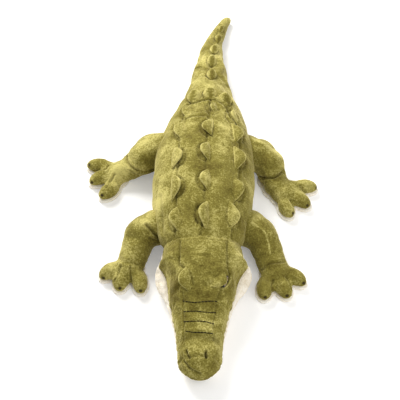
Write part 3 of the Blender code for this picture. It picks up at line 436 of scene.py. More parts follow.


# Body: one skin over the torso and the tail's root, curving a little to one side towards the tail.
# Stations in millimetres: y, x, half width, level of the widest line, rise, drop, fullness above and below.
body = {
    "stations": [
        (-133, -0.4, 45.0, 30.0, 36.5, 29.5, 2.0, 2.0), (-130, -0.4, 47.0, 30.0, 38.0, 30.0, 2.0, 2.05),
        (-118, -0.4, 54.0, 30.8, 42.2, 31.0, 2.05, 2.15),
        (-103.3, -0.4, 59.4, 31.6, 44.4, 32.1, 2.1, 2.28), (-76.6, 0.3, 63.6, 33.0, 47.7, 33.5, 2.1, 2.53),
        (-47.2, 1.2, 66.7, 34.0, 49.2, 34.5, 2.1, 2.74), (-12.5, 2.4, 67.0, 34.0, 50.0, 34.5, 2.1, 2.88),
        (22.2, 3.8, 64.5, 33.7, 48.7, 34.2, 2.1, 2.88), (51.6, 5.1, 58.3, 32.6, 45.5, 33.1, 2.1, 2.76),
        (78.3, 7.0, 51.7, 30.9, 40.5, 31.4, 2.1, 2.57), (105, 8.4, 42.4, 28.6, 33.6, 29.1, 2.1, 2.33),
        (123.6, 9.2, 35.9, 26.5, 28.5, 27.0, 2.05, 2.14), (137, 9.6, 32.6, 25.0, 26.0, 25.3, 2.0, 2.0),
        (150.9, 10.0, 29.8, 23.3, 24.2, 23.5, 2.0, 2.0), (166.7, 10.6, 27.0, 21.4, 22.9, 21.6, 2.0, 2.0),
        (186.5, 11.4, 24.7, 19.0, 20.7, 19.2, 2.0, 2.0), (204.3, 12.1, 21.0, 16.8, 18.7, 17.0, 2.0, 2.0),
        (222, 12.9, 17.8, 14.8, 16.9, 15.0, 2.0, 2.0), (230, 13.3, 16.4, 13.9, 16.4, 14.1, 2.0, 2.0)],
    "from": -130, "to": 224, "rows": 100, "columns": 96, "inset": 1.2, "cap": 5.0, "endHeld": (9, 9),
    "bellyColumns": (56, 88), "bellyEnds": (-124, 116), "rowSeam": (2.1, 1.6, 1.0),
    "bellySeam": (1.2, 1.6, 0.5), "rimFold": (3.2, 1.5, 0.3), "leafSeam": (1.6, 1.0, 0.6),
    "tailFold": (1.6, 1.8, 0.3), "paintedFinShadow": (8, -0.5),
}
# The three scute rows and the folds, in the photograph's pixels: line, depth, width and lip in millimetres.
spineRow = [(199.5, 236), (202.3, 226), (204.2, 206), (204.9, 190), (205.2, 170), (205.5, 149), (206.8, 138),
            (208, 120), (210.5, 108), (210.6, 95)]
leftRow = [(174, 236), (175.2, 226), (175.6, 203), (176.6, 186), (177.4, 170), (178.2, 155), (179, 141),
           (179.8, 126), (184.5, 113), (190, 102), (194, 97)]
rightRow = [(231.5, 238), (232.5, 226), (235, 203), (238, 189), (239.6, 174), (240, 158), (239.8, 145),
            (238, 131), (234, 116), (228.5, 104), (225, 99)]
# Where the photograph shows each scute's leaf, row by row from the neck
scuteSpots = {
    "spine": [(202.3, 214), (204.8, 179.6), (205, 150.6), (207.7, 127.4), (213, 108), (209.8, 95)],
    "right": [(175.4, 219), (177, 186.6), (178, 157), (180, 131.2), (187, 112), (194.4, 97.6)],
    "left": [(232.2, 217), (237.2, 189.6), (238.9, 158.8), (237, 134), (232.8, 117), (225, 100.4)],
    "tail": [(211.6, 75.6), (211.8, 61.6), (213.7, 50.4), (217.6, 39.6), (220.6, 29.4)]}
# Which side each fin leans to, as the photograph shows: -1 to its left, 1 to its right
scuteLeans = {"spine": (-1, -1, -1, -1, -1, -1), "left": (1, 1, 1, 1, -1, 1), "right": (-1, 1, 1, -1, -1, -1),
              "tail": (-1, -1, -1, -1, -1)}
bodyFolds = [
    ([(184, 108.5), (189, 104.8), (195, 102.6), (202, 100.4), (209, 99.4), (217, 100.6), (224, 104.6),
      (228.6, 110.5)], 4.2, 2.6, 1.5),
    ([(184, 120), (187.6, 117.8), (195, 116), (203, 115.6), (209, 117)], 1.6, 2.2, 0.8),
    ([(211, 109.5), (215, 108), (219, 109.5)], 1.8, 1.8, 0.6),
    ([(228.4, 107.5), (228.8, 112.5), (230.2, 117.5)], 3.2, 1.7, 1.0),
    ([(184.2, 116), (187, 111.5), (190.6, 106.5)], 2.2, 1.8, 0.8),
    ([(196, 68.5), (201, 67.2), (206, 69)], 1.6, 1.8, 0.9),
    ([(194, 80), (200, 76.5), (206, 76)], 0.9, 2.4, 0.5),
    ([(215, 73), (222, 79), (226, 86)], 0.7, 3.0, 0.3),
    ([(160.5, 196), (161.5, 214), (163, 232)], 1.1, 3.0, 0.6),
    ([(157, 182), (156.5, 196)], 0.8, 4.0, 0.3),
    ([(203, 91), (204.4, 95)], 2.6, 1.3, 0.4), ([(222.4, 98.6), (225, 102.2)], 2.6, 1.5, 0.4),
    ([(173.2, 124.5), (172.6, 130), (174.6, 135.5), (177.4, 139)], 2.2, 1.4, 0.4),
    ([(178.6, 144.6), (179.6, 146.4)], 1.8, 1.2, 0.3),
    ([(201, 154), (202.4, 157)], 2.4, 1.3, 0.4), ([(196, 218), (198.4, 223)], 2.6, 1.4, 0.5),
    ([(231, 212), (231.8, 216)], 2.4, 1.3, 0.4),
]
# Painted light and shade on the pile: where, how wide in millimetres, and how much paler or darker
bodyLightShade = [
    ((226.5, 127), 9, 0.7), ((222, 138), 9, 0.35), ((197, 168), 16, -0.45), ((212, 170), 12, -0.35),
    ((190, 135), 10, -0.3), ((204, 112), 8, -0.3), ((162, 176), 13, 0.75), ((160, 200), 13, 0.7),
    ((165, 148), 11, 0.6), ((168, 222), 13, 0.45), ((176, 128), 8, 0.35), ((200, 200), 14, -0.3),
    ((218, 205), 14, -0.3), ((249, 186), 11, 0.2), ((196, 84), 9, 0.45), ((204, 62), 9, 0.5),
    ((208, 47), 8, 0.5), ((222, 72), 8, -0.1), ((220, 150), 10, 0.2), ((188, 190), 8, 0.2),
]


def tubeGrid(part):
    # a skin's cross-sections, in millimetres
    y = np.linspace(part["from"], part["to"], part["rows"])
    x, half, level, rise, drop, fullUp, fullLow = smoothThrough(part["stations"], y).T
    degrees = np.arange(part["columns"]) * 360 / part["columns"]
    grid = np.zeros((part["rows"], part["columns"], 3))
    inset = part["inset"]
    for i in range(part["rows"]):
        across, up = roundPower(degrees, np.where(degrees <= 180, fullUp[i], fullLow[i]))
        grid[i, :, 0] = x[i] + (half[i] - inset) * across
        grid[i, :, 1] = y[i]
        grid[i, :, 2] = np.maximum(level[i] + np.where(up > 0, rise[i] - inset, drop[i]) * up, 0)
    return grid


def bodyGrid():
    grid = tubeGrid(body)
    # the neck's end leans forward over the head
    lean = np.clip((-98 - grid[:, 0, 1]) / 32, 0, 1) ** 1.5
    grid[..., 1] -= 15 * lean[:, None] * np.clip((grid[..., 2] - 22) / 50, 0, 1)
    grid *= mm
    for row, share in ((0, 0.93), (1, 0.975), (-2, 0.965), (-1, 0.90)):
        # both ends turn in, where the head and the tail's end are sewn on
        middle = grid[row].mean(0)
        grid[row] = middle + (grid[row] - middle) * share
        grid[row, :, 2] = np.maximum(grid[row, :, 2], 0)
    return grid


def heldNear(points, lines, wide):
    held = np.zeros(len(points))
    for line in lines:
        if len(line) > 1:
            held = np.maximum(held, np.exp(-(nearness(points, line) / (wide * mm)) ** 4))
    return held


def heldEnds(points, part):
    # what lies on the floor stays, and so do both sewn ends
    held = (points[:, 2] < 1.2 * mm) * 1.0
    for end, reach in zip((part["from"], part["to"]), part["endHeld"]):
        held = np.maximum(held, np.clip(1 - np.abs(points[:, 1] - end * mm) / (reach * mm), 0, 1))
    return held


def panelFrom(name, grid, normals, rows, columns, proud, thick, material):
    # a closed cloth panel that hugs part of a skin; its edges sink into the seams
    r = np.arange(rows[0], rows[1] + 1)
    c = np.arange(columns[0], columns[1] + 1) % grid.shape[1]
    place, out = grid[np.ix_(r, c)], normals[np.ix_(r, c)]
    edge = np.minimum.outer(np.minimum(np.arange(len(r)), len(r) - 1 - np.arange(len(r))),
                            np.minimum(np.arange(len(c)), len(c) - 1 - np.arange(len(c))))
    lift = np.where(edge == 0, -0.3, np.where(edge == 1, 0.75, 1.0)) * proud * mm
    outer = place + out * lift[..., None]
    inner = place - out * (thick * mm)
    outer[..., 2] = np.maximum(outer[..., 2], 0)
    inner[..., 2] = np.maximum(inner[..., 2], 0.4 * mm)
    count = len(r) * len(c)
    ids = np.arange(count).reshape(len(r), len(c))
    quads = np.stack([ids[:-1, :-1], ids[:-1, 1:], ids[1:, 1:], ids[1:, :-1]], -1).reshape(-1, 4)
    faces = quads.tolist() + (quads[:, ::-1] + count).tolist()
    rim = ids[0, :].tolist() + ids[1:, -1].tolist() + ids[-1, -2::-1].tolist() + ids[-2:0:-1, 0].tolist()
    for a, b in zip(rim, rim[1:] + rim[:1]):
        faces.append([a, a + count, b + count, b])
    return makePiece(name, np.vstack([outer.reshape(-1, 3), inner.reshape(-1, 3)]), faces, material)


def leafRim(tree, spot, size, lean, reach=9.2):
    # the line under a leaf's free rim, or along its seam
    place = seenAt(tree, *spot)
    line = []
    for turn in range(-84, 85, 12) if place is not None else ():
        x, y = lean * size * reach * cos(radians(turn)), size * 14 * sin(radians(turn)) - 1
        found, _, _, _ = tree.ray_cast(Vector((place.x + x * mm, place.y + y * mm, 0.3)), Vector((0, 0, -1)))
        if found is not None:
            line.append(found)
    return np.array(line)


def makeBody():
    grid = bodyGrid()
    rows, columns = grid.shape[:2]
    draft = makePiece("draft", closedPoints(grid), gridFaces(rows, columns))
    tree = treeOf(draft)
    points = pointsOf(draft)
    held = heldNear(points, [lineOn(tree, row) for row in (spineRow, leftRow, rightRow)], 3.0)
    held = np.maximum(held, heldNear(points, [grid[:, k] for k in body["bellyColumns"]], 2.6))
    held = np.maximum(held, heldEnds(points, body))
    grid = puff(draft, held, body["cap"])[:-2].reshape(rows, columns, 3)
    discard(draft)
    for _ in range(3):
        # a full stuffing lets no small wrinkles stand
        grid[1:-1] = (grid[1:-1] * 2 + grid[:-2] + grid[2:] + np.roll(grid, 1, 1)[1:-1]
                      + np.roll(grid, -1, 1)[1:-1]) / 6
    grid = finer(grid)
    rows, columns = grid.shape[:2]
    skin = makePiece("body_skin", closedPoints(grid), gridFaces(rows, columns), greenPlush)
    tree = treeOf(skin)
    seams = sewn(tree, [(row, *body["rowSeam"]) for row in (spineRow, leftRow, rightRow)] + bodyFolds)
    seams += [(grid[:, 2 * k], *body["bellySeam"]) for k in body["bellyColumns"]]
    shades = []
    for row, spots in scuteSpots.items():
        for spot, lean in zip(spots, scuteLeans[row]):
            if row == "tail":
                seams.append((leafRim(tree, spot, 0.7, lean), *body["tailFold"]))
                continue
            # a deep fold and a halo of painted shadow by the free rim, and a shallow fold by the seam
            seams.append((leafRim(tree, spot, 1.0, lean), *body["rimFold"]))
            seams.append((leafRim(tree, spot, 1.0, -lean, 7.9), *body["leafSeam"]))
            shades.append(((spot[0] + 4.5 * lean, spot[1] + 2.5), *body["paintedFinShadow"]))
    relief(skin, seams, lightShadePatches=placed(tree, bodyLightShade + shades), stuffing=1.1, seed=0.3)
    return skin


bodySkin = makeBody()
bodyTree = treeOf(bodySkin)
fineRows, fineColumns = 2 * body["rows"] - 1, 2 * body["columns"]
bodyFine = pointsOf(bodySkin)[:-2].reshape(fineRows, fineColumns, 3)
bodyNormals = normalsOf(bodySkin)[:-2].reshape(fineRows, fineColumns, 3)
bellyRows = [int(np.abs(bodyFine[:, 0, 1] / mm - y).argmin()) for y in body["bellyEnds"]]
bellySkin = panelFrom("belly_skin", bodyFine, bodyNormals, bellyRows, [2 * k for k in body["bellyColumns"]],
                      0.5, 1.0, creamPlush)
print("body made:", len(bodySkin.data.vertices), "points")

# Tail's end: a slim skin that bends past its seam. Stations like the body's, all of them round.
tail = {
    "stations": [
        (*row, 2.0, 2.0) for row in (
            (212, 12.5, 14.5, 15.4, 13.4, 12.4), (222, 13.0, 16.9, 14.7, 15.7, 14.2),
            (230, 13.4, 16.5, 13.9, 15.9, 13.9), (236, 14.0, 15.3, 13.1, 15.4, 13.1),
            (250.4, 17.1, 12.9, 11.7, 12.9, 11.7), (266.2, 22.0, 11.5, 10.1, 11.4, 10.1),
            (282.1, 27.8, 9.5, 8.5, 9.5, 8.5), (295.8, 33.2, 7.7, 7.2, 7.7, 7.2),
            (303.4, 37.0, 6.4, 6.6, 6.6, 6.4), (306.6, 38.4, 3.6, 6.3, 4.0, 4.6),
            (307.6, 38.9, 0.9, 6.2, 1.2, 1.4))],
    "from": 212, "to": 307.6, "rows": 44, "columns": 40, "inset": 0,
}


def makeTail():
    grid = finer(tubeGrid(tail) * mm)
    rows, columns = grid.shape[:2]
    skin = makePiece("tail_tip_skin", closedPoints(grid), gridFaces(rows, columns), greenPlush)
    tree = treeOf(skin)
    seam = lineOn(tree, [(213, 50), (214.6, 41), (217.6, 33), (221, 25)])
    relief(skin, [(seam, 0.9, 1.5, 0.5)], stuffing=0.6, seed=1.7)
    return skin


tailSkin = makeTail()
tailTree = treeOf(tailSkin)
print("tail made")

# Head: one green skin with the snout's bulb, and a cream jaw panel that stands out under the mouth seam.
# Stations: y, x, half width above and below the mouth seam, top, mouth seam, fullness, chin drop.
head = {
    "stations": [
        (-122, 0.0, 46.0, 46.0, 60.0, 30.0, 2.0, 30.0), (-130, 0.2, 49.0, 49.0, 65.2, 29.8, 2.0, 30.0),
        (-137, 0.6, 50.2, 50.4, 68.8, 29.4, 2.05, 29.8), (-145, 0.9, 51.4, 52.6, 70.6, 28.8, 2.1, 29.0),
        (-152, 1.1, 53.6, 56.8, 70.2, 28.1, 2.15, 28.5), (-158, 1.2, 55.4, 60.6, 69.4, 27.5, 2.2, 28.1),
        (-161.8, 1.2, 52.6, 62.2, 68.8, 27.0, 2.2, 27.7),
        (-165.6, 1.2, 50.0, 62.6, 68.0, 26.6, 2.2, 27.2), (-172, 0.6, 46.6, 61.3, 66.8, 25.7, 2.25, 26.3),
        (-178.9, 0.0, 44.2, 58.6, 65.3, 24.7, 2.3, 25.2), (-186, -0.6, 42.9, 54.6, 63.2, 23.4, 2.35, 23.8),
        (-193, -1.1, 41.9, 50.0, 60.8, 22.0, 2.4, 22.4), (-200, -1.5, 40.7, 45.6, 58.2, 20.7, 2.4, 21.1),
        (-207.4, -1.9, 39.0, 41.8, 55.5, 19.6, 2.4, 20.0), (-217, -2.2, 36.3, 37.8, 51.7, 18.4, 2.4, 18.8),
        (-227, -2.4, 34.0, 34.6, 48.6, 17.4, 2.4, 17.9), (-248.4, -2.9, 29.8, 29.4, 44.2, 16.2, 2.4, 16.7),
        (-270.6, -3.2, 27.3, 25.4, 41.4, 15.7, 2.3, 16.2), (-286.6, -3.4, 26.0, 22.4, 39.7, 15.4, 2.2, 15.9),
        (-297.3, -3.6, 22.0, 17.0, 35.2, 15.4, 2.1, 12.7), (-303.0, -3.7, 15.6, 11.4, 29.4, 15.7, 2.0, 9.0),
        (-305.8, -3.7, 9.4, 7.4, 24.0, 15.9, 2.0, 5.6), (-306.8, -3.7, 4.2, 3.4, 19.6, 16.0, 2.0, 2.6)],
    "from": -122, "to": -306.8, "rows": 66, "upperColumns": 56, "lowerColumns": 40, "inset": 1.6, "cap": 3.2,
    "endHeld": (14, 18), "jawEnds": (-136, -297), "mouthSeam": (0.9, 1.5, 0.6),
}
# The panel seams first, then the folds: pixels, depth, width and lip. Below zero, a raised line with a
# painted highlight along it.
headSeams = [
    ([(179.6, 241.8), (179.2, 255), (179.1, 266)], 2.5, 1.4, 0.9),
    ([(182.5, 291.3), (183.5, 301.2), (183.8, 315), (184.2, 329), (183, 344)], 0.5, 1.2, 0.7),
    ([(227.4, 243), (227.5, 256), (227.5, 269.5), (229.6, 277.4)], 2.1, 1.4, 0.8),
    ([(221, 289.3), (217.2, 299.2), (215.3, 315), (213.2, 325), (214, 340)], 0.8, 1.3, 0.6),
    ([(202.8, 240.5), (202.3, 259.6), (200.8, 299.2), (199.3, 328.8), (198.4, 338)], -0.3, 0.9, 0),
    ([(228.4, 276.4), (227.2, 281), (224.6, 285.2), (221.2, 287.6)], 3.4, 1.2, 0.5),
    ([(230.5, 274.8), (230.4, 278.4), (228.6, 283.6), (225.4, 287.3), (221.9, 289)], -1.3, 1.0, 0),
    ([(180.5, 265.5), (186.2, 269.8), (190.6, 276), (193.6, 285)], 2.4, 1.5, 0.6),
    ([(184, 361.5), (189.4, 367.9), (195.4, 371.4), (199.5, 373.4)], 2.6, 1.5, 0.9),
    ([(188.5, 368), (194, 372.5), (198.5, 375.5)], 0.8, 1.2, 0.4),
    ([(186.3, 351), (187.4, 354.5), (189.6, 358.2)], 3.6, 1.6, 1.0),
    ([(205.8, 352), (205.5, 354.5), (206.0, 357.6)], 5.0, 1.5, 1.0),
    ([(178, 341), (187, 337.5), (197, 336), (207, 337.5), (219, 341)], 1.5, 5.0, 0.6),
    ([(170, 246), (174, 240), (178.8, 241), (190, 239.6), (202, 238.8), (216, 240), (227.7, 241.5),
      (233, 241)], 0.5, 1.4, 0.5),
]
# How wide and high the stuffing stands out
headLumps = [((197, 357), 9.0, 2.6), ((181.5, 350), 7.0, 1.2), ((214, 350), 7.0, 1.2),
             ((220, 272), 11.0, 3.0), ((186, 274), 9.0, 1.2), ((176.4, 285.6), 8.0, 1.6)]
# Patches of painted light and shade on the head: where, how wide in millimetres, and how much paler or darker
headLightShade = [
    ((173.0, 281), 10, -1.1), ((172, 271), 8, -0.4), ((176, 299), 9, -0.5), ((180, 315), 8, -0.2),
    ((238, 255), 11, 0.5), ((226, 296), 9, -0.35), ((222, 312), 8, -0.2), ((164, 257), 9, 0.4),
    ((205, 294), 12, -0.25), ((172, 288), 10, -0.5), ((196, 252), 16, -0.2), ((203, 312), 12, 0.3),
    ((206, 326), 10, 0.2), ((199, 346), 11, -0.35), ((226, 330), 8, 0.3), ((236, 266), 9, 0.3),
    ((187, 322), 8, 0.25), ((181, 355), 7, -0.25), ((214, 362), 8, -0.2), ((178, 330), 7, 0.15),
    ((216, 330), 7, -0.15),
]


def headGrid():
    # the rows stand closer together towards the snout's end
    share = np.linspace(0, 1, head["rows"])
    y = head["from"] + (head["to"] - head["from"]) * (share + 0.12 * np.sin(pi * share) * share)
    x, upper, lower, top, mouth, full, chin = smoothThrough(head["stations"], y).T
    inset = head["inset"]
    above = np.linspace(0, 180, head["upperColumns"] + 1)
    below = np.linspace(180, 360, head["lowerColumns"] + 1)[1:-1]
    grid = np.zeros((head["rows"], head["upperColumns"] + head["lowerColumns"], 3))
    for i in range(head["rows"]):
        slim = min(inset, upper[i] * 0.3)
        c, s = roundPower(above, full[i])
        grid[i, :len(above), 0] = x[i] + (upper[i] - slim * 0.3) * c
        grid[i, :len(above), 2] = mouth[i] + (top[i] - mouth[i] - slim) * s
        c, s = roundPower(below, full[i])
        bulge = np.sin(np.minimum(-s / 0.42, 1) * pi / 2)
        grid[i, len(above):, 0] = x[i] + (upper[i] + (lower[i] - upper[i]) * bulge) * c
        grid[i, len(above):, 2] = mouth[i] + chin[i] * s
        grid[i, :, 1] = y[i]
    grid[..., 2] = np.maximum(grid[..., 2], 0)
    return grid * mm


def makeHead():
    grid = headGrid()
    rows, columns = grid.shape[:2]
    draft = makePiece("draft", closedPoints(grid), gridFaces(rows, columns))
    tree = treeOf(draft)
    points = pointsOf(draft)
    kept = [lineOn(tree, seam[0]) for seam in headSeams[:5]]
    held = heldNear(points, kept, 2.2) * 0.8
    held = np.maximum(held, heldNear(points, [grid[:, 0], grid[:, head["upperColumns"]]], 2.4))
    held = np.maximum(held, heldEnds(points, head))
    grid = finer(puff(draft, held, head["cap"])[:-2].reshape(rows, columns, 3))
    discard(draft)
    rows, columns = grid.shape[:2]
    skin = makePiece("head_skin", closedPoints(grid), gridFaces(rows, columns), greenPlush)
    tree = treeOf(skin)
    seams = sewn(tree, headSeams)
    seams += [(grid[:, k], *head["mouthSeam"]) for k in (0, 2 * head["upperColumns"])]
    relief(skin, seams, placed(tree, headLumps), lightShadePatches=placed(tree, headLightShade), stuffing=0.8, seed=2.9)
    return skin


headSkin = makeHead()
headTree = treeOf(headSkin)
headRows, headColumns = 2 * head["rows"] - 1, 2 * (head["upperColumns"] + head["lowerColumns"])
headFine = pointsOf(headSkin)[:-2].reshape(headRows, headColumns, 3)
headNormals = normalsOf(headSkin)[:-2].reshape(headRows, headColumns, 3)
jawRows = [int(np.abs(headFine[:, 0, 1] / mm - y).argmin()) for y in head["jawEnds"]]
jawSkin = panelFrom("jaw_skin", headFine, headNormals, jawRows, [2 * head["upperColumns"], headColumns],
                    0.7, 1.0, creamPlush)
print("head made:", len(headSkin.data.vertices), "points")

# Limbs: lumps of stuffing in millimetres, fused to one skin a limb: x, y, half length, half width, top, level
# of the widest line, and the way the lump points in degrees. Folds, claws and the patches of painted light
# and shade are in pixels, as above; the sole follows the foot's lumps from number soleFrom on.
limbs = {
    "front_leg_right": {
        "lumps": [(-60, -91.6, 25.2, 25.2, 47, 22, 190), (-72, -98, 24.4, 23.4, 46.5, 21.5, 220),
                  (-78.6, -102.4, 22.6, 22.4, 44, 20, 235), (-84, -118, 20.8, 20.8, 36, 15, 250)],
        "foot": [(-88.5, -130, 20.5, 20, 30, 12, 250), (-93, -144, 21, 20, 24, 9, 250),
                 (-117, -147.6, 18.5, 11.4, 18.5, 7.5, 222), (-102.3, -161.5, 18.5, 11.8, 19, 7.5, 260),
                 (-79, -163.5, 19.5, 11.6, 19, 7.5, 275)],
        "folds": [([(146.4, 225.2), (149, 227.6), (154, 233.4), (157.5, 236.6), (160.6, 239.6)],
                   3.2, 2.0, 1.3),
                  ([(149.6, 238), (154.5, 239.8), (159.2, 241.3)], 1.8, 1.6, 0.8),
                  ([(113.6, 281.4), (117.4, 275), (120.6, 266)], 2.0, 1.5, 0.5),
                  ([(131, 281), (130.4, 274), (130.6, 267)], 2.0, 1.5, 0.5),
                  ([(118, 258), (126, 262), (137, 263.5), (146, 263)], 0.4, 2.4, 0.5)],
        "claws": [(103.3, 278), (119.9, 288.6), (140.6, 290.9)], "soleFrom": 1,
        "lightShadePatches": [((142, 222), 14, 0.45), ((120, 272), 22, 0.35), ((138, 244), 12, -0.15)]},
    "front_leg_left": {
        "lumps": [(60, -93, 26, 26, 47, 22, 350), (72, -102, 25, 23.5, 46, 21.5, 320),
                  (77, -108, 22, 21.5, 43, 20, 305), (82, -121, 22, 21.5, 34, 15, 290)],
        "foot": [(86.5, -135, 21, 20.5, 28, 11, 290), (93, -150, 22, 21, 23, 9, 290),
                 (117.5, -157.2, 18.5, 11.4, 18.5, 7.5, 314), (101.5, -172.5, 18.5, 11.8, 19, 7.5, 292),
                 (78, -174, 18.5, 11.6, 19, 7.5, 268)],
        "folds": [([(252, 222), (258, 226.6), (263.7, 231.2), (267.4, 240), (270.5, 254)], -1.0, 1.0, 0.0),
                  ([(259.6, 271), (265.5, 266), (271.6, 263.2), (284, 262)], 0.9, 1.8, 1.0),
                  ([(271.8, 295), (272, 287.7), (272.8, 280.5)], 2.0, 1.5, 0.5),
                  ([(291.4, 289.4), (289.8, 283.6), (286, 277)], 2.0, 1.5, 0.5)],
        "claws": [(303.8, 283.3), (287.2, 295.8), (265.2, 297.4)], "soleFrom": 1,
        "lightShadePatches": [((275, 238), 18, -0.3), ((282, 272), 22, -0.3), ((259, 218), 9, 0.3)]},
    "rear_leg_right": {
        "lumps": [(-54, 36, 27, 26.5, 49, 24, 180), (-66, 34, 27, 25.8, 50, 24, 175),
                  (-81, 23, 21, 22.2, 45, 20, 205)],
        "foot": [(-96, 15.5, 20, 19.5, 30, 12, 200), (-107, 11, 19, 18.6, 26, 10, 200),
                 (-117.5, 6, 19, 19, 22, 8.5, 200), (-122, 14, 16, 14, 19.5, 8, 180),
                 (-139.5, 23.5, 18.5, 11.2, 18.5, 7.5, 178), (-136.5, 1.6, 18.5, 11.2, 18.5, 7.5, 206),
                 (-123.8, -19.5, 19, 11.4, 18.5, 7.5, 226)],
        "folds": [([(126.8, 155), (127.8, 162.5), (133.6, 168.8), (144.3, 172), (153.5, 169.6)],
                   2.4, 1.9, 1.2),
                  ([(130.5, 170.5), (134, 173.5), (137.6, 175.4)], 1.2, 1.6, 0.6),
                  ([(92, 170.6), (104.4, 169.4), (108.4, 165.4)], 2.0, 1.5, 0.5),
                  ([(106, 187.5), (111.5, 180), (114.4, 174.6)], 2.0, 1.5, 0.5)],
        "claws": [(89.2, 164.8), (91.8, 182.6), (102, 195.2)], "soleFrom": 2,
        "lightShadePatches": [((145, 146), 22, 0.5), ((118, 172), 22, 0.5), ((136, 164), 9, 0.3),
                    ((146, 158), 8, -0.5)]},
    "rear_leg_left": {
        "lumps": [(58, 33, 27, 25.8, 48, 24, 0), (76, 26.5, 25.4, 23.6, 50, 24, 335),
                  (89.5, 13, 22, 21.8, 45, 21, 300)],
        "foot": [(94, 2, 20.5, 19.5, 32, 13, 290), (99.5, -12, 20.5, 19.5, 27, 10, 300),
                 (109, -23.5, 21, 20, 22.5, 8.5, 310), (119, -16, 15, 14, 20, 8, 0),
                 (137.5, -12.6, 18.5, 11.4, 18.5, 7.5, 352), (130.4, -34.8, 18.5, 11.6, 18.5, 7.5, 312),
                 (110.8, -48, 18.5, 11.6, 18.5, 7.5, 292)],
        "folds": [([(256.6, 176), (262, 177.6), (268, 177.8), (275, 177), (283, 171.5)], 2.8, 1.9, 1.2),
                  ([(307.5, 194), (303.4, 190.6), (300, 186)], 2.0, 1.5, 0.5),
                  ([(296, 210), (292.5, 205), (290, 200)], 2.0, 1.5, 0.5),
                  ([(252, 139), (262, 143), (275, 152), (284, 160)], -0.8, 3.4, 0.0)],
        "claws": [(316.5, 187.8), (307.6, 205.7), (293.3, 213.3)], "soleFrom": 0,
        "lightShadePatches": [((276, 143), 12, 0.35), ((266, 157), 13, -0.65), ((290, 190), 22, -0.15),
                    ((277, 180), 8, -0.5)]},
}
limbCloth = {"voxel": 2.6, "cap": 2.4, "pressure": 3.0, "lying": 3.0, "under": 1.2, "smooth": 7, "claw": 2.9}


def limbDraft(name, lumps):
    # overlapping egg-shaped lumps, then one skin round them all
    work = bmesh.new()
    for x, y, long, wide, top, level, degrees in lumps:
        shape = bmesh.new()
        bmesh.ops.create_icosphere(shape, subdivisions=4, radius=1)
        turn = Matrix.Rotation(radians(degrees), 3, "Z")
        for v in shape.verts:
            up = (top - level) if v.co.z > 0 else (level - 1.5)
            shaped = Vector((v.co.x * (long - 1), v.co.y * (wide - 1), v.co.z * up))
            v.co = turn @ shaped + Vector((x, y, level))
            v.co *= mm
        piece = bpy.data.meshes.new("lump")
        shape.to_mesh(piece)
        shape.free()
        work.from_mesh(piece)
        bpy.data.meshes.remove(piece)
    mesh = bpy.data.meshes.new(name)
    work.to_mesh(mesh)
    work.free()
    draft = addObject(name, mesh)
    remesh = draft.modifiers.new("remesh", "REMESH")
    remesh.mode = "VOXEL"
    remesh.voxel_size = limbCloth["voxel"] * mm
    soften = draft.modifiers.new("soften", "SMOOTH")
    soften.factor = 0.5
    soften.iterations = limbCloth["smooth"]
    return applied(draft)


def applied(piece):
    # the piece's modifiers made part of its mesh
    bpy.context.view_layer.update()
    shaped = piece.evaluated_get(bpy.context.evaluated_depsgraph_get())
    mesh = bpy.data.meshes.new_from_object(shaped)
    old = piece.data
    piece.modifiers.clear()
    piece.data = mesh
    bpy.data.meshes.remove(old)
    return piece


def makeLimb(name):
    limb = limbs[name]
    skin = limbDraft(name.replace("leg", "limb") + "_skin", limb["lumps"] + limb["foot"])
    held = (pointsOf(skin)[:, 2] < limbCloth["lying"] * mm) * 1.0
    movePoints(skin, puff(skin, held, limbCloth["cap"], limbCloth["pressure"]))
    divide = skin.modifiers.new("divide", "SUBSURF")
    divide.levels = 1
    divide.render_levels = 1
    skin = applied(skin)
    skin.data.shade_smooth()
    skin.data.materials.clear()
    skin.data.materials.append(greenPlush)
    tree = treeOf(skin)
    spots = placed(tree, [(spot, limbCloth["claw"]) for spot in limb["claws"]])
    relief(skin, sewn(tree, limb["folds"]), spots=spots, lightShadePatches=placed(tree, limb["lightShadePatches"]),
           seed=len(name) * 0.7 + limb["claws"][0][0] * 0.01)
    lifted = pointsOf(skin)
    lifted[:, 2] = np.maximum(lifted[:, 2], limbCloth["under"] * mm)
    movePoints(skin, lifted)
    return skin


limbSkins = {name: makeLimb(name) for name in limbs}
print("limbs made:", [len(skin.data.vertices) for skin in limbSkins.values()])

# Soles: thin stuffed pads with a rolled edge, to the outline that the foot's own lumps make on the floor
sole = {"thick": 3.8, "around": 150, "proud": 0.4, "roll": 1.3, "paintedLight": 0.6}


def makeSole(name, limb):
    foot = limb["foot"][limb["soleFrom"]:]
    centre = np.array(foot[-4][:2])
    angles = np.arange(sole["around"]) * 2 * pi / sole["around"]
    rays = np.stack([np.cos(angles), np.sin(angles)], 1)
    reach = np.zeros(len(angles))
    for x, y, long, wide, _, _, degrees in foot:
        ahead = np.array([cos(radians(degrees)), sin(radians(degrees))])
        across = np.array([-ahead[1], ahead[0]])
        size = np.array([long + sole["proud"], wide + sole["proud"]])
        offset = np.array([(centre - (x, y)) @ ahead, (centre - (x, y)) @ across]) / size
        way = np.stack([rays @ ahead, rays @ across], 1) / size
        a, b, c = (way ** 2).sum(1), (way * offset).sum(1), (offset ** 2).sum() - 1
        inside = b ** 2 - a * c
        reach = np.maximum(reach, np.where(inside > 0, (-b + np.sqrt(np.maximum(inside, 0))) / a, 0))
    for _ in range(2):
        reach = (np.roll(reach, 1) + 2 * reach + np.roll(reach, -1)) / 4
    rings = []
    for degrees in range(-90, 91, 30):
        ring = centre + rays * (reach - sole["roll"] * (1 - cos(radians(degrees))))[:, None]
        height = sole["thick"] * (0.5 + 0.5 * sin(radians(degrees)))
        rings.append(np.column_stack([ring, np.full(len(ring), height)]) * mm)
    grid = np.array(rings)
    pad = makePiece(name + "_pad", closedPoints(grid), gridFaces(*grid.shape[:2]), creamPlush)
    # painted light over the whole pad, which lies in the foot's shade
    setValues(pad, "rim", np.full(len(pad.data.vertices), sole["paintedLight"]))
    return pad


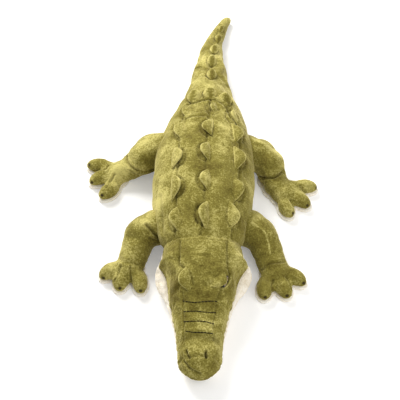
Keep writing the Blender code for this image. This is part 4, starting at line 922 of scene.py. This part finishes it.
feet = ["front_foot_right", "front_foot_left", "rear_foot_right", "rear_foot_left"]
soles = {foot: makeSole(foot + "_sole", limbs[foot.replace("foot", "leg")]) for foot in feet}
print("soles made")

# Scutes and brows: stuffed fins sewn in along one straight edge that lean to the other side, and the domes of
# crown and tail, round to the tail and pointed to the head. Geometry Nodes set them along their rows.
# Fins: dark is painted shade under the free rim and along the seam; paintedLight is a painted highlight on
# the free rim, seam paints one beside the seam, and tone lightens the whole fin
fin = {"along": 24, "around": 36, "point": 1.05, "thick": 0.38, "under": 0.45, "lift": 0.42, "bow": 0.10,
       "dark": 0.75, "paintedLight": 0.9, "seam": 0.9, "tone": 0.15}
# the image-right brow lies flatter, with less painted shade and little painted highlight on its rim
lid = dict(fin, lift=0.26, thick=0.42, dark=0.3, paintedLight=0.15, seam=0.0, tone=0.02)
brow = dict(fin, seam=0.1, paintedLight=0.7, bow=0.22)
# Domes: dark is painted shade at the base, paintedLight a painted highlight round the rim, shade painted
# shade on the slope that faces the head
dome = {"along": 26, "around": 40, "sink": 0.16, "widest": 0.58, "point": 1.0, "blunt": 2.2, "highest": 0.76,
        "ridge": 0.9, "dark": 0.6, "paintedLight": 0.8, "shade": 0.6, "hollow": 0.2}


def leafPiece(name, rings, dark, paintedLight, material):
    grid = np.array(rings)
    piece = makePiece(name, closedPoints(grid), gridFaces(*grid.shape[:2]), material)
    # dark becomes painted shade and paintedLight becomes painted light and shade
    for label, values in (("paintedShade", dark), ("rim", paintedLight)):
        setValues(piece, label, values + [0.0, 0.0])
    return piece


def finMesh(name, shape, material):
    # a unit fin: one long, one wide and one high; its seam is on +X and its free rim hangs over on -X
    rings, dark, paintedLight = [], [], []
    for i in range(1, shape["along"]):
        u = i / shape["along"]
        wide = sin(pi * u) ** shape["point"]
        thick = shape["thick"] * sin(pi * u) ** 0.7
        lift = shape["lift"] * sin(pi * u) ** 0.8
        ring = []
        for k in range(shape["around"]):
            turn = 2 * pi * k / shape["around"]
            out, up = cos(turn), sin(turn)
            x = 0.5 - shape["bow"] * (2 * u - 1) ** 2 - wide / 2 * (1 - out)
            ring.append((x, u - 0.5, thick * (up if up > 0 else shape["under"] * up) + lift * (1 - out) / 2))
            # painted shade on the underside and along the sewn edge; painted highlights on the free rim and
            # beside the seam
            dark.append(shape["dark"] * min(max(-up * 1.6, (out - 0.93) * 14, 0.0), 1.0))
            rim, seam = max(0.0, (-out - 0.72) / 0.28), max(0.0, 1 - abs(out - 0.8) / 0.16)
            paintedLight.append((shape["paintedLight"] * rim + shape["seam"] * seam) * (up > -0.1) + shape["tone"])
        rings.append(ring)
    return leafPiece(name, rings, dark, paintedLight, material)


def domeMesh(name, shape, material):
    # a unit dome: painted highlights round its rim, painted shade on the slope that faces the head and at its
    # base
    def swell(u, peak, power, blunt):
        if u < peak:
            return sin(pi / 2 * u / peak) ** power
        return (1 - ((u - peak) / (1 - peak)) ** blunt) ** 0.5

    rings, dark, paintedLight = [], [], []
    for i in range(1, shape["along"]):
        u = i / shape["along"]
        wide = 0.5 * swell(u, shape["widest"], shape["point"], shape["blunt"])
        high = swell(u, shape["highest"], shape["ridge"], 2.0)
        ring = []
        for k in range(shape["around"]):
            turn = 2 * pi * k / shape["around"]
            out, up = cos(turn), sin(turn)
            hollow = shape["hollow"] * 2.718 ** -((wide * out / 0.2) ** 2 + ((u - 0.33) / 0.3) ** 2)
            lift = high * up * (1 - hollow) if up > 0 else shape["sink"] * up
            ring.append((wide * out * (1 - 0.1 * max(up, 0)), u - 0.56, lift))
            # painted highlight round the rim, painted shade at the base and on the slope that faces the head
            rim = max(max(abs(out) - 0.2, 0) / 0.8 * min(u * 3, 1), min((u - 0.66) / 0.2, 1), 0)
            dark.append(shape["dark"] * max(0.0, 1 - max(lift, 0) / 0.2) ** 1.5)
            paintedLight.append((shape["paintedLight"] * rim - shape["shade"] * (1 - rim)) * max(min(up * 3, 1), 0))
        rings.append(ring)
    return leafPiece(name, rings, dark, paintedLight, material)


def openTree(name, inputs):
    # a Geometry Nodes group that takes a mesh and a few numbers
    tree = bpy.data.node_groups.new(name, "GeometryNodeTree")
    tree.interface.new_socket("Geometry", in_out="INPUT", socket_type="NodeSocketGeometry")
    for label, value in inputs.items():
        number = tree.interface.new_socket(label, in_out="INPUT", socket_type="NodeSocketFloat")
        number.default_value = value
    tree.interface.new_socket("Geometry", in_out="OUTPUT", socket_type="NodeSocketGeometry")
    return tree, addNode(tree, "NodeGroupInput").outputs


def realCopies(tree, points, leaf, turn, size):
    # the leaf at every point, as real geometry
    copies = addNode(tree, "GeometryNodeInstanceOnPoints", {}, {
        "Points": points, "Instance": leaf, "Rotation": turn, "Scale": size})
    return addNode(tree, "GeometryNodeRealizeInstances", {}, {"Geometry": copies.outputs[0]}).outputs[0]


def closeTree(tree, shape, material):
    dressed = addNode(tree, "GeometryNodeSetMaterial", {}, {"Geometry": shape, "Material": material})
    addNode(tree, "NodeGroupOutput", {}, {0: dressed.outputs[0]})
    return tree


def scuteTree(leaf, material):
    # the leaf on the row's points, turned and sized by the points' own attributes, and a little uneven
    tree, given = openTree("scute_row", {"Length": 1.0, "Width": 1.0, "Height": 1.0, "Unevenness": 0.08})
    leafInfo = addNode(tree, "GeometryNodeObjectInfo", {}, {"Object": leaf})
    turn = addNode(tree, "GeometryNodeInputNamedAttribute", {"data_type": "FLOAT_VECTOR"}, {"Name": "turn"})
    size = addNode(tree, "GeometryNodeInputNamedAttribute", {"data_type": "FLOAT"}, {"Name": "size"})
    sizes = addNode(tree, "ShaderNodeCombineXYZ", {},
                    {"X": given["Width"], "Y": given["Length"], "Z": given["Height"]})
    scaled = addNode(tree, "ShaderNodeVectorMath", {"operation": "SCALE"},
                     {0: sizes.outputs[0], "Scale": size.outputs[0]})
    dots = addNode(tree, "GeometryNodeMeshToPoints", {}, {"Mesh": given[0]})
    real = realCopies(tree, dots.outputs[0], leafInfo.outputs["Geometry"], turn.outputs[0], scaled.outputs[0])
    place = addNode(tree, "GeometryNodeInputPosition")
    wobble = addNode(tree, "ShaderNodeTexNoise", {"noise_dimensions": "3D"},
                     {"Vector": place.outputs[0], "Scale": 95.0, "Detail": 1.0})
    centred = addNode(tree, "ShaderNodeVectorMath", {"operation": "SUBTRACT"},
                      {0: wobble.outputs["Color"], 1: (0.5, 0.5, 0.5)})
    amount = addNode(tree, "ShaderNodeMath", {"operation": "MULTIPLY"},
                     {0: given["Unevenness"], 1: given["Width"]})
    shift = addNode(tree, "ShaderNodeVectorMath", {"operation": "SCALE"},
                    {0: centred.outputs[0], "Scale": amount.outputs[0]})
    moved = addNode(tree, "GeometryNodeSetPosition", {}, {"Geometry": real, "Offset": shift.outputs[0]})
    return closeTree(tree, moved.outputs[0], material)


def throughNodes(name, mesh, tree, inputs):
    # runs a node tree on a mesh, and keeps the result as a plain mesh
    piece = addObject(name, mesh)
    nodes = piece.modifiers.new("nodes", "NODES")
    nodes.node_group = tree
    for item in tree.interface.items_tree:
        if item.in_out == "INPUT" and item.name in inputs:
            nodes[item.identifier] = float(inputs[item.name])
    piece = applied(piece)
    piece.data.shade_smooth()
    return piece


def setAlong(name, rows, tree, inputs):
    # leaves on a few points that carry their own turn and size
    mesh = bpy.data.meshes.new(name)
    mesh.from_pydata([tuple(row["place"]) for row in rows], [], [])
    turn = mesh.attributes.new("turn", "FLOAT_VECTOR", "POINT")
    turn.data.foreach_set("vector", np.array([row["turn"] for row in rows], np.float32).ravel())
    size = mesh.attributes.new("size", "FLOAT", "POINT")
    size.data.foreach_set("value", np.array([row["size"] for row in rows], np.float32))
    return throughNodes(name, mesh, tree, inputs)


def turnOnto(normal, ahead, roll=0.0):
    # a turn whose Z is the surface's normal and whose Y runs ahead along it
    z = Vector(normal).normalized()
    y = (Vector(ahead) - z * z.dot(Vector(ahead))).normalized()
    x = y.cross(z)
    turn = Matrix((x, y, z)).transposed()
    return (turn @ Matrix.Rotation(roll, 3, "Y")).to_euler()


def steadyNormal(tree, place, reach=0.006):
    # the normal of the form, not of its wrinkles
    total = Vector()
    for dx in (-1, 0, 1):
        for dy in (-1, 0, 1):
            above = Vector((place.x + dx * reach, place.y + dy * reach, 0.3))
            _, normal, _, _ = tree.ray_cast(above, Vector((0, 0, -1)))
            if normal:
                total += normal
    return total.normalized()


# How large each scute is beside its row's size, and how many degrees a fin's free rim stands up
scuteSizes = {
    "spine": (1.22, 1.04, 0.98, 0.98, 0.68, 0.86), "left": (1.14, 1.12, 1.06, 0.98, 0.86, 0.86),
    "right": (1.14, 1.14, 1.08, 1.00, 0.86, 0.86), "tail": (1.00, 0.94, 0.88, 0.78, 0.62)}
scuteLifts = {"spine": 8, "left": 18, "right": 14, "tail": 0}


def scuteRow(row, numbers, tree):
    rows = []
    for number in numbers:
        place = seenAt(tree, *scuteSpots[row][number - 1])
        normal = steadyNormal(tree, place)
        # the tail's end curves aside, and the side rows close in on the tail
        ahead = Vector((0.24 if row == "tail" and number > 2 else 0.02, 1, 0))
        if row == "left":
            ahead.x -= 0.12 + 0.10 * max(number - 4, 0)
        if row == "right":
            ahead.x += 0.02 + 0.14 * max(number - 4, 0)
        lean = 1 if row == "tail" or number == 6 else -scuteLeans[row][number - 1]
        rows.append({"place": place - normal * 0.4 * mm, "size": scuteSizes[row][number - 1],
                     "turn": turnOnto(normal, ahead * lean, radians(0 if number == 6 else scuteLifts[row]))})
    return rows


leafShapes = (("fin", fin), ("lid", lid), ("brow", brow))
leaves = {name: finMesh(name, shape, greenPlush) for name, shape in leafShapes}
leaves["dome"] = domeMesh("dome", dome, greenPlush)
trees = {name: scuteTree(leaf, greenPlush) for name, leaf in leaves.items()}
backSize = {"Length": 37 * mm, "Width": 15.5 * mm, "Height": 12.5 * mm, "Unevenness": 0.12}
crownSize = {"Length": 27 * mm, "Width": 23 * mm, "Height": 12 * mm, "Unevenness": 0.08}
tailSize = {"Length": 24 * mm, "Width": 14.5 * mm, "Height": 9 * mm, "Unevenness": 0.08}
sewnRows = ("spine", "left", "right")
backRows = sum([scuteRow(row, range(1, 6), bodyTree) for row in sewnRows], [])
crownRows = sum([scuteRow(row, (6,), bodyTree) for row in sewnRows], [])
backScutes = setAlong("back_scutes", backRows, trees["fin"], backSize)
crownScutes = setAlong("crown_scutes", crownRows, trees["dome"], crownSize)
tailScutes = setAlong("tail_scutes", scuteRow("tail", (1, 2, 3), bodyTree), trees["dome"], tailSize)
tipScutes = setAlong("tail_tip_scutes", scuteRow("tail", (4, 5), tailTree), trees["dome"], tailSize)
browSizes = {"right": {"Length": 34 * mm, "Width": 16 * mm, "Height": 10 * mm, "Unevenness": 0.10},
             "left": {"Length": 32 * mm, "Width": 17 * mm, "Height": 9 * mm, "Unevenness": 0.06}}
browSpots = {"right": ((184.3, 279.4), (0.02, 1, 0), 20), "left": ((220.6, 280), (-0.50, -1, 0), 12)}


def browRow(side):
    spot, ahead, roll = browSpots[side]
    place = seenAt(headTree, *spot)
    normal = steadyNormal(headTree, place)
    return [{"place": place - normal * 1.2 * mm, "size": 1.0, "turn": turnOnto(normal, ahead, radians(roll))}]


browRight = setAlong("brow_right_lid", browRow("right"), trees["brow"], browSizes["right"])
browLeft = setAlong("brow_left_lid", browRow("left"), trees["lid"], browSizes["left"])
for leaf in leaves.values():
    discard(leaf)
print("scutes and brows made")

# Stitches: four lines of back stitch across the snout, sunk in the pile
stitch = {"Length": 4.6 * mm, "Thickness": 1.6 * mm, "Gap": -0.9 * mm}
stitchLines = [
    [(184, 301.2), (188.5, 301.8), (193.4, 302.4), (200.3, 302.0), (209.2, 301.2), (215.6, 301.4)],
    [(185, 311.6), (195.4, 311.2), (205.3, 312.2), (215.1, 312.8)],
    [(185, 321.7), (195.4, 321.1), (205.3, 321.7), (213.7, 323.9)],
    [(186.5, 331.3), (193.4, 332.3), (201.3, 332.4), (211.4, 333.5)]]


def stitchTree(material):
    # short thread capsules laid end to end along a curve
    tree, given = openTree("stitches", {"Length": 3 * mm, "Thickness": 1 * mm, "Gap": 0.3 * mm})
    curve = addNode(tree, "GeometryNodeMeshToCurve", {}, {"Mesh": given[0]})
    pitch = addNode(tree, "ShaderNodeMath", {"operation": "ADD"}, {0: given["Length"], 1: given["Gap"]})
    spots = addNode(tree, "GeometryNodeResampleCurve", {"mode": "LENGTH"},
                    {"Curve": curve.outputs[0], "Length": pitch.outputs[0]})
    dots = addNode(tree, "GeometryNodeCurveToPoints", {"mode": "EVALUATED"},
                   {"Curve": spots.outputs[0]}).outputs
    ball = addNode(tree, "GeometryNodeMeshUVSphere", {}, {"Segments": 10, "Rings": 8, "Radius": 0.5})
    flat = addNode(tree, "ShaderNodeMath", {"operation": "MULTIPLY"}, {0: given["Thickness"], 1: 0.8})
    sizes = addNode(tree, "ShaderNodeCombineXYZ", {},
                    {"X": flat.outputs[0], "Y": given["Thickness"], "Z": given["Length"]})
    real = realCopies(tree, dots["Points"], ball.outputs["Mesh"], dots["Rotation"], sizes.outputs[0])
    return closeTree(tree, real, material)


def sewAlong(name, lines, tree, inputs):
    # stitches along lines of points
    places, edges = [], []
    for line in lines:
        first = len(places)
        places += [tuple(p) for p in line]
        edges += [(i, i + 1) for i in range(first, len(places) - 1)]
    mesh = bpy.data.meshes.new(name)
    mesh.from_pydata(places, edges, [])
    return throughNodes(name, mesh, tree, inputs)


threadPaths = [lineOn(headTree, line) for line in stitchLines]
stitches = sewAlong("snout_stitches", threadPaths, stitchTree(blackThread), stitch)
print("stitches made")

# Eyes: glossy domes with a beige iris and a dark upright slit, under the brows
def eyeMaterial():
    # moulded acrylic: the eye gets a beige printed iris with dark rims, under a clear smooth dome
    material, tree = newMaterial("beige_acrylic_eye")
    place = addNode(tree, "ShaderNodeAttribute", {"attribute_name": "iris"})
    printed = colourRamp(tree, place.outputs["Fac"], (0.30, "#120C08"), (0.42, "#9C8763"), (0.80, "#7A6644"),
                         (0.88, "#150E0A"))
    shader = addNode(tree, "ShaderNodeBsdfPrincipled", {}, {
        "Base Color": printed, "Roughness": 0.25, "Coat Weight": 0.3, "Coat Roughness": 0.1})
    closeMaterial(tree, shader)
    return material


eyeLook = {"long": 8.2, "high": 2.7, "dome": 2.6}
eyeAcrylic = eyeMaterial()
# Where each eye is, which way it looks, and how many millimetres it stands out of the skin
eyeSpots = {"left": ((225.2, 281.4), (0.84, -0.36, 0.42), 0.2),
            "right": ((183.6, 282.6), (-0.97, -0.24, 0.0), -2.6)}


def makeEye(side):
    spot, out, proud = eyeSpots[side]
    out = Vector(out).normalized()
    place = seenAt(headTree, *spot) + out * proud * mm
    y = (Vector((0, 1, 0)) - out * out.y).normalized()
    turn = Matrix((y.cross(out), y, out)).transposed()
    ball = bmesh.new()
    bmesh.ops.create_uvsphere(ball, u_segments=32, v_segments=20, radius=1)
    points, iris = [], []
    for v in ball.verts:
        shaped = Vector((v.co.x * eyeLook["high"], v.co.y * eyeLook["long"], v.co.z * eyeLook["dome"]))
        points.append(place + turn @ shaped * mm)
        slit = abs(v.co.y) * 2.6 + abs(v.co.x) * 0.25
        rim = (v.co.x ** 2 + v.co.y ** 2) ** 0.5
        iris.append(1.0 if rim > 0.86 else min(0.8, slit))
    faces = [[v.index for v in f.verts] for f in ball.faces]
    ball.free()
    piece = makePiece("eye_" + side + "_dome", points, faces, eyeAcrylic)
    setValues(piece, "iris", iris)
    return piece


eyes = {side: makeEye(side) for side in ("left", "right")}
print("eyes made")


# Hidden nodes that stay: the eyes' washers
def washerMaterial():
    # injection-moulded polypropylene: the eye gets a milky satin with a faint flow grain
    material, tree = newMaterial("milky_polypropylene")
    place = addNode(tree, "ShaderNodeTexCoord").outputs["Object"]
    flow = addNode(tree, "ShaderNodeTexNoise", {}, {"Vector": place, "Scale": 1 / (3 * mm), "Detail": 2})
    milky = colourRamp(tree, flow.outputs["Fac"], (0, "#D9D8D0"), (1, "#EBEAE4"))
    shader = addNode(tree, "ShaderNodeBsdfPrincipled", {}, {"Base Color": milky, "Roughness": 0.45})
    closeMaterial(tree, shader)
    return material


washer = washerMaterial()
for side in ("left", "right"):
    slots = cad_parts["eye_washer_" + side].material_slots
    for i in range(len(slots)):
        slots[i].link = "OBJECT"
        slots[i].material = washer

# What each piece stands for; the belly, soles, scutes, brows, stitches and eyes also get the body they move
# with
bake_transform(bodySkin)
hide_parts("torso_back_cover", "torso_stuffing", "tail_base_cover", "tail_base_stuffing")
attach(bellySkin, "torso")
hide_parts("belly_panel")
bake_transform(tailSkin)
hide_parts("tail_tip_cover", "tail_tip_stuffing")
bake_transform(headSkin)
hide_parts("head_cover", "head_stuffing")
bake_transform(jawSkin)
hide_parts("lower_jaw_panel")
for name, skin in limbSkins.items():
    foot = name.replace("leg", "foot")
    palm = Vector([sum(v) / 2 for v in zip(*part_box(foot + "_sole"))])
    lowCover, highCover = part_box(name + "_cover")
    start = (lowCover + highCover) / 2
    start.z = palm.z
    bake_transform(skin)
    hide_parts(name + "_cover", name + "_stuffing", foot + "_cover", foot + "_stuffing")
    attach(soles[foot], foot)
    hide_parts(foot + "_sole")
for piece, mover, nodes in (
        (backScutes, "torso", [f"scute_{row}_{n}" for row in sewnRows for n in range(1, 6)]),
        (crownScutes, "torso", [f"scute_{row}_6" for row in sewnRows]),
        (tailScutes, "tail_base", ["scute_tail_1", "scute_tail_2", "scute_tail_3"]),
        (tipScutes, "tail_tip", ["scute_tail_4", "scute_tail_5"]),
        (browRight, "head", ["brow_right"]), (browLeft, "head", ["brow_left"])):
    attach(piece, mover)
    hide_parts(*nodes)
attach(stitches, "head")
for side, piece in eyes.items():
    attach(piece, "head")
    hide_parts("eye_" + side)


# Floor and light: white paper under an even white sky, a key lamp from behind and a weak fill lamp in front
studio = {"glow": 0.22, "sky": 0.53, "lamps": (("key", (-0.55, 0.92, 0.86), 0.7, 26),
                                               ("fill", (0.8, -0.7, 0.9), 1.2, 9))}


def makeFloor():
    mesh = bpy.data.meshes.new("floor")
    mesh.from_pydata([(-6, -6, 0), (6, -6, 0), (6, 6, 0), (-6, 6, 0)], [], [(0, 1, 2, 3)])
    floor = addObject("floor", mesh)
    floor.location.z = -0.2 * mm
    material, tree = newMaterial("matt_white_paper")
    paths = addNode(tree, "ShaderNodeLightPath")
    seen = addNode(tree, "ShaderNodeMath", {"operation": "MAXIMUM"},
                   {0: paths.outputs["Is Camera Ray"], 1: paths.outputs["Is Glossy Ray"]})
    glow = addNode(tree, "ShaderNodeMath", {"operation": "MULTIPLY"}, {0: seen.outputs[0], 1: studio["glow"]})
    paper = addNode(tree, "ShaderNodeBsdfDiffuse", {}, {"Color": linear("#EFEEEC")})
    light = addNode(tree, "ShaderNodeEmission", {}, {"Strength": glow.outputs[0]})
    both = addNode(tree, "ShaderNodeAddShader", {}, {0: paper.outputs[0], 1: light.outputs[0]})
    closeMaterial(tree, both)
    mesh.materials.append(material)


def makeLight():
    world = bpy.data.worlds.new("studio")
    bpy.context.scene.world = world
    world.use_nodes = True
    tree = world.node_tree
    tree.nodes.clear()
    paths = addNode(tree, "ShaderNodeLightPath")
    strength = addNode(tree, "ShaderNodeMapRange", {}, {
        "Value": paths.outputs["Is Camera Ray"], "To Min": studio["sky"], "To Max": 1.0})
    sky = addNode(tree, "ShaderNodeBackground", {}, {"Color": linear("#FFFFFF"),
                  "Strength": strength.outputs["Result"]})
    addNode(tree, "ShaderNodeOutputWorld", {}, {"Surface": sky.outputs[0]})
    for name, place, size, power in studio["lamps"]:
        lamp = bpy.data.lights.new(name, "AREA")
        lamp.size = size
        lamp.energy = power
        item = addObject(name, lamp)
        item.location = place
        item.rotation_euler = (-Vector(place)).to_track_quat("-Z", "Y").to_euler()


makeFloor()
makeLight()
bpy.context.scene.view_settings.view_transform = "Standard"
print("floor and lights made")
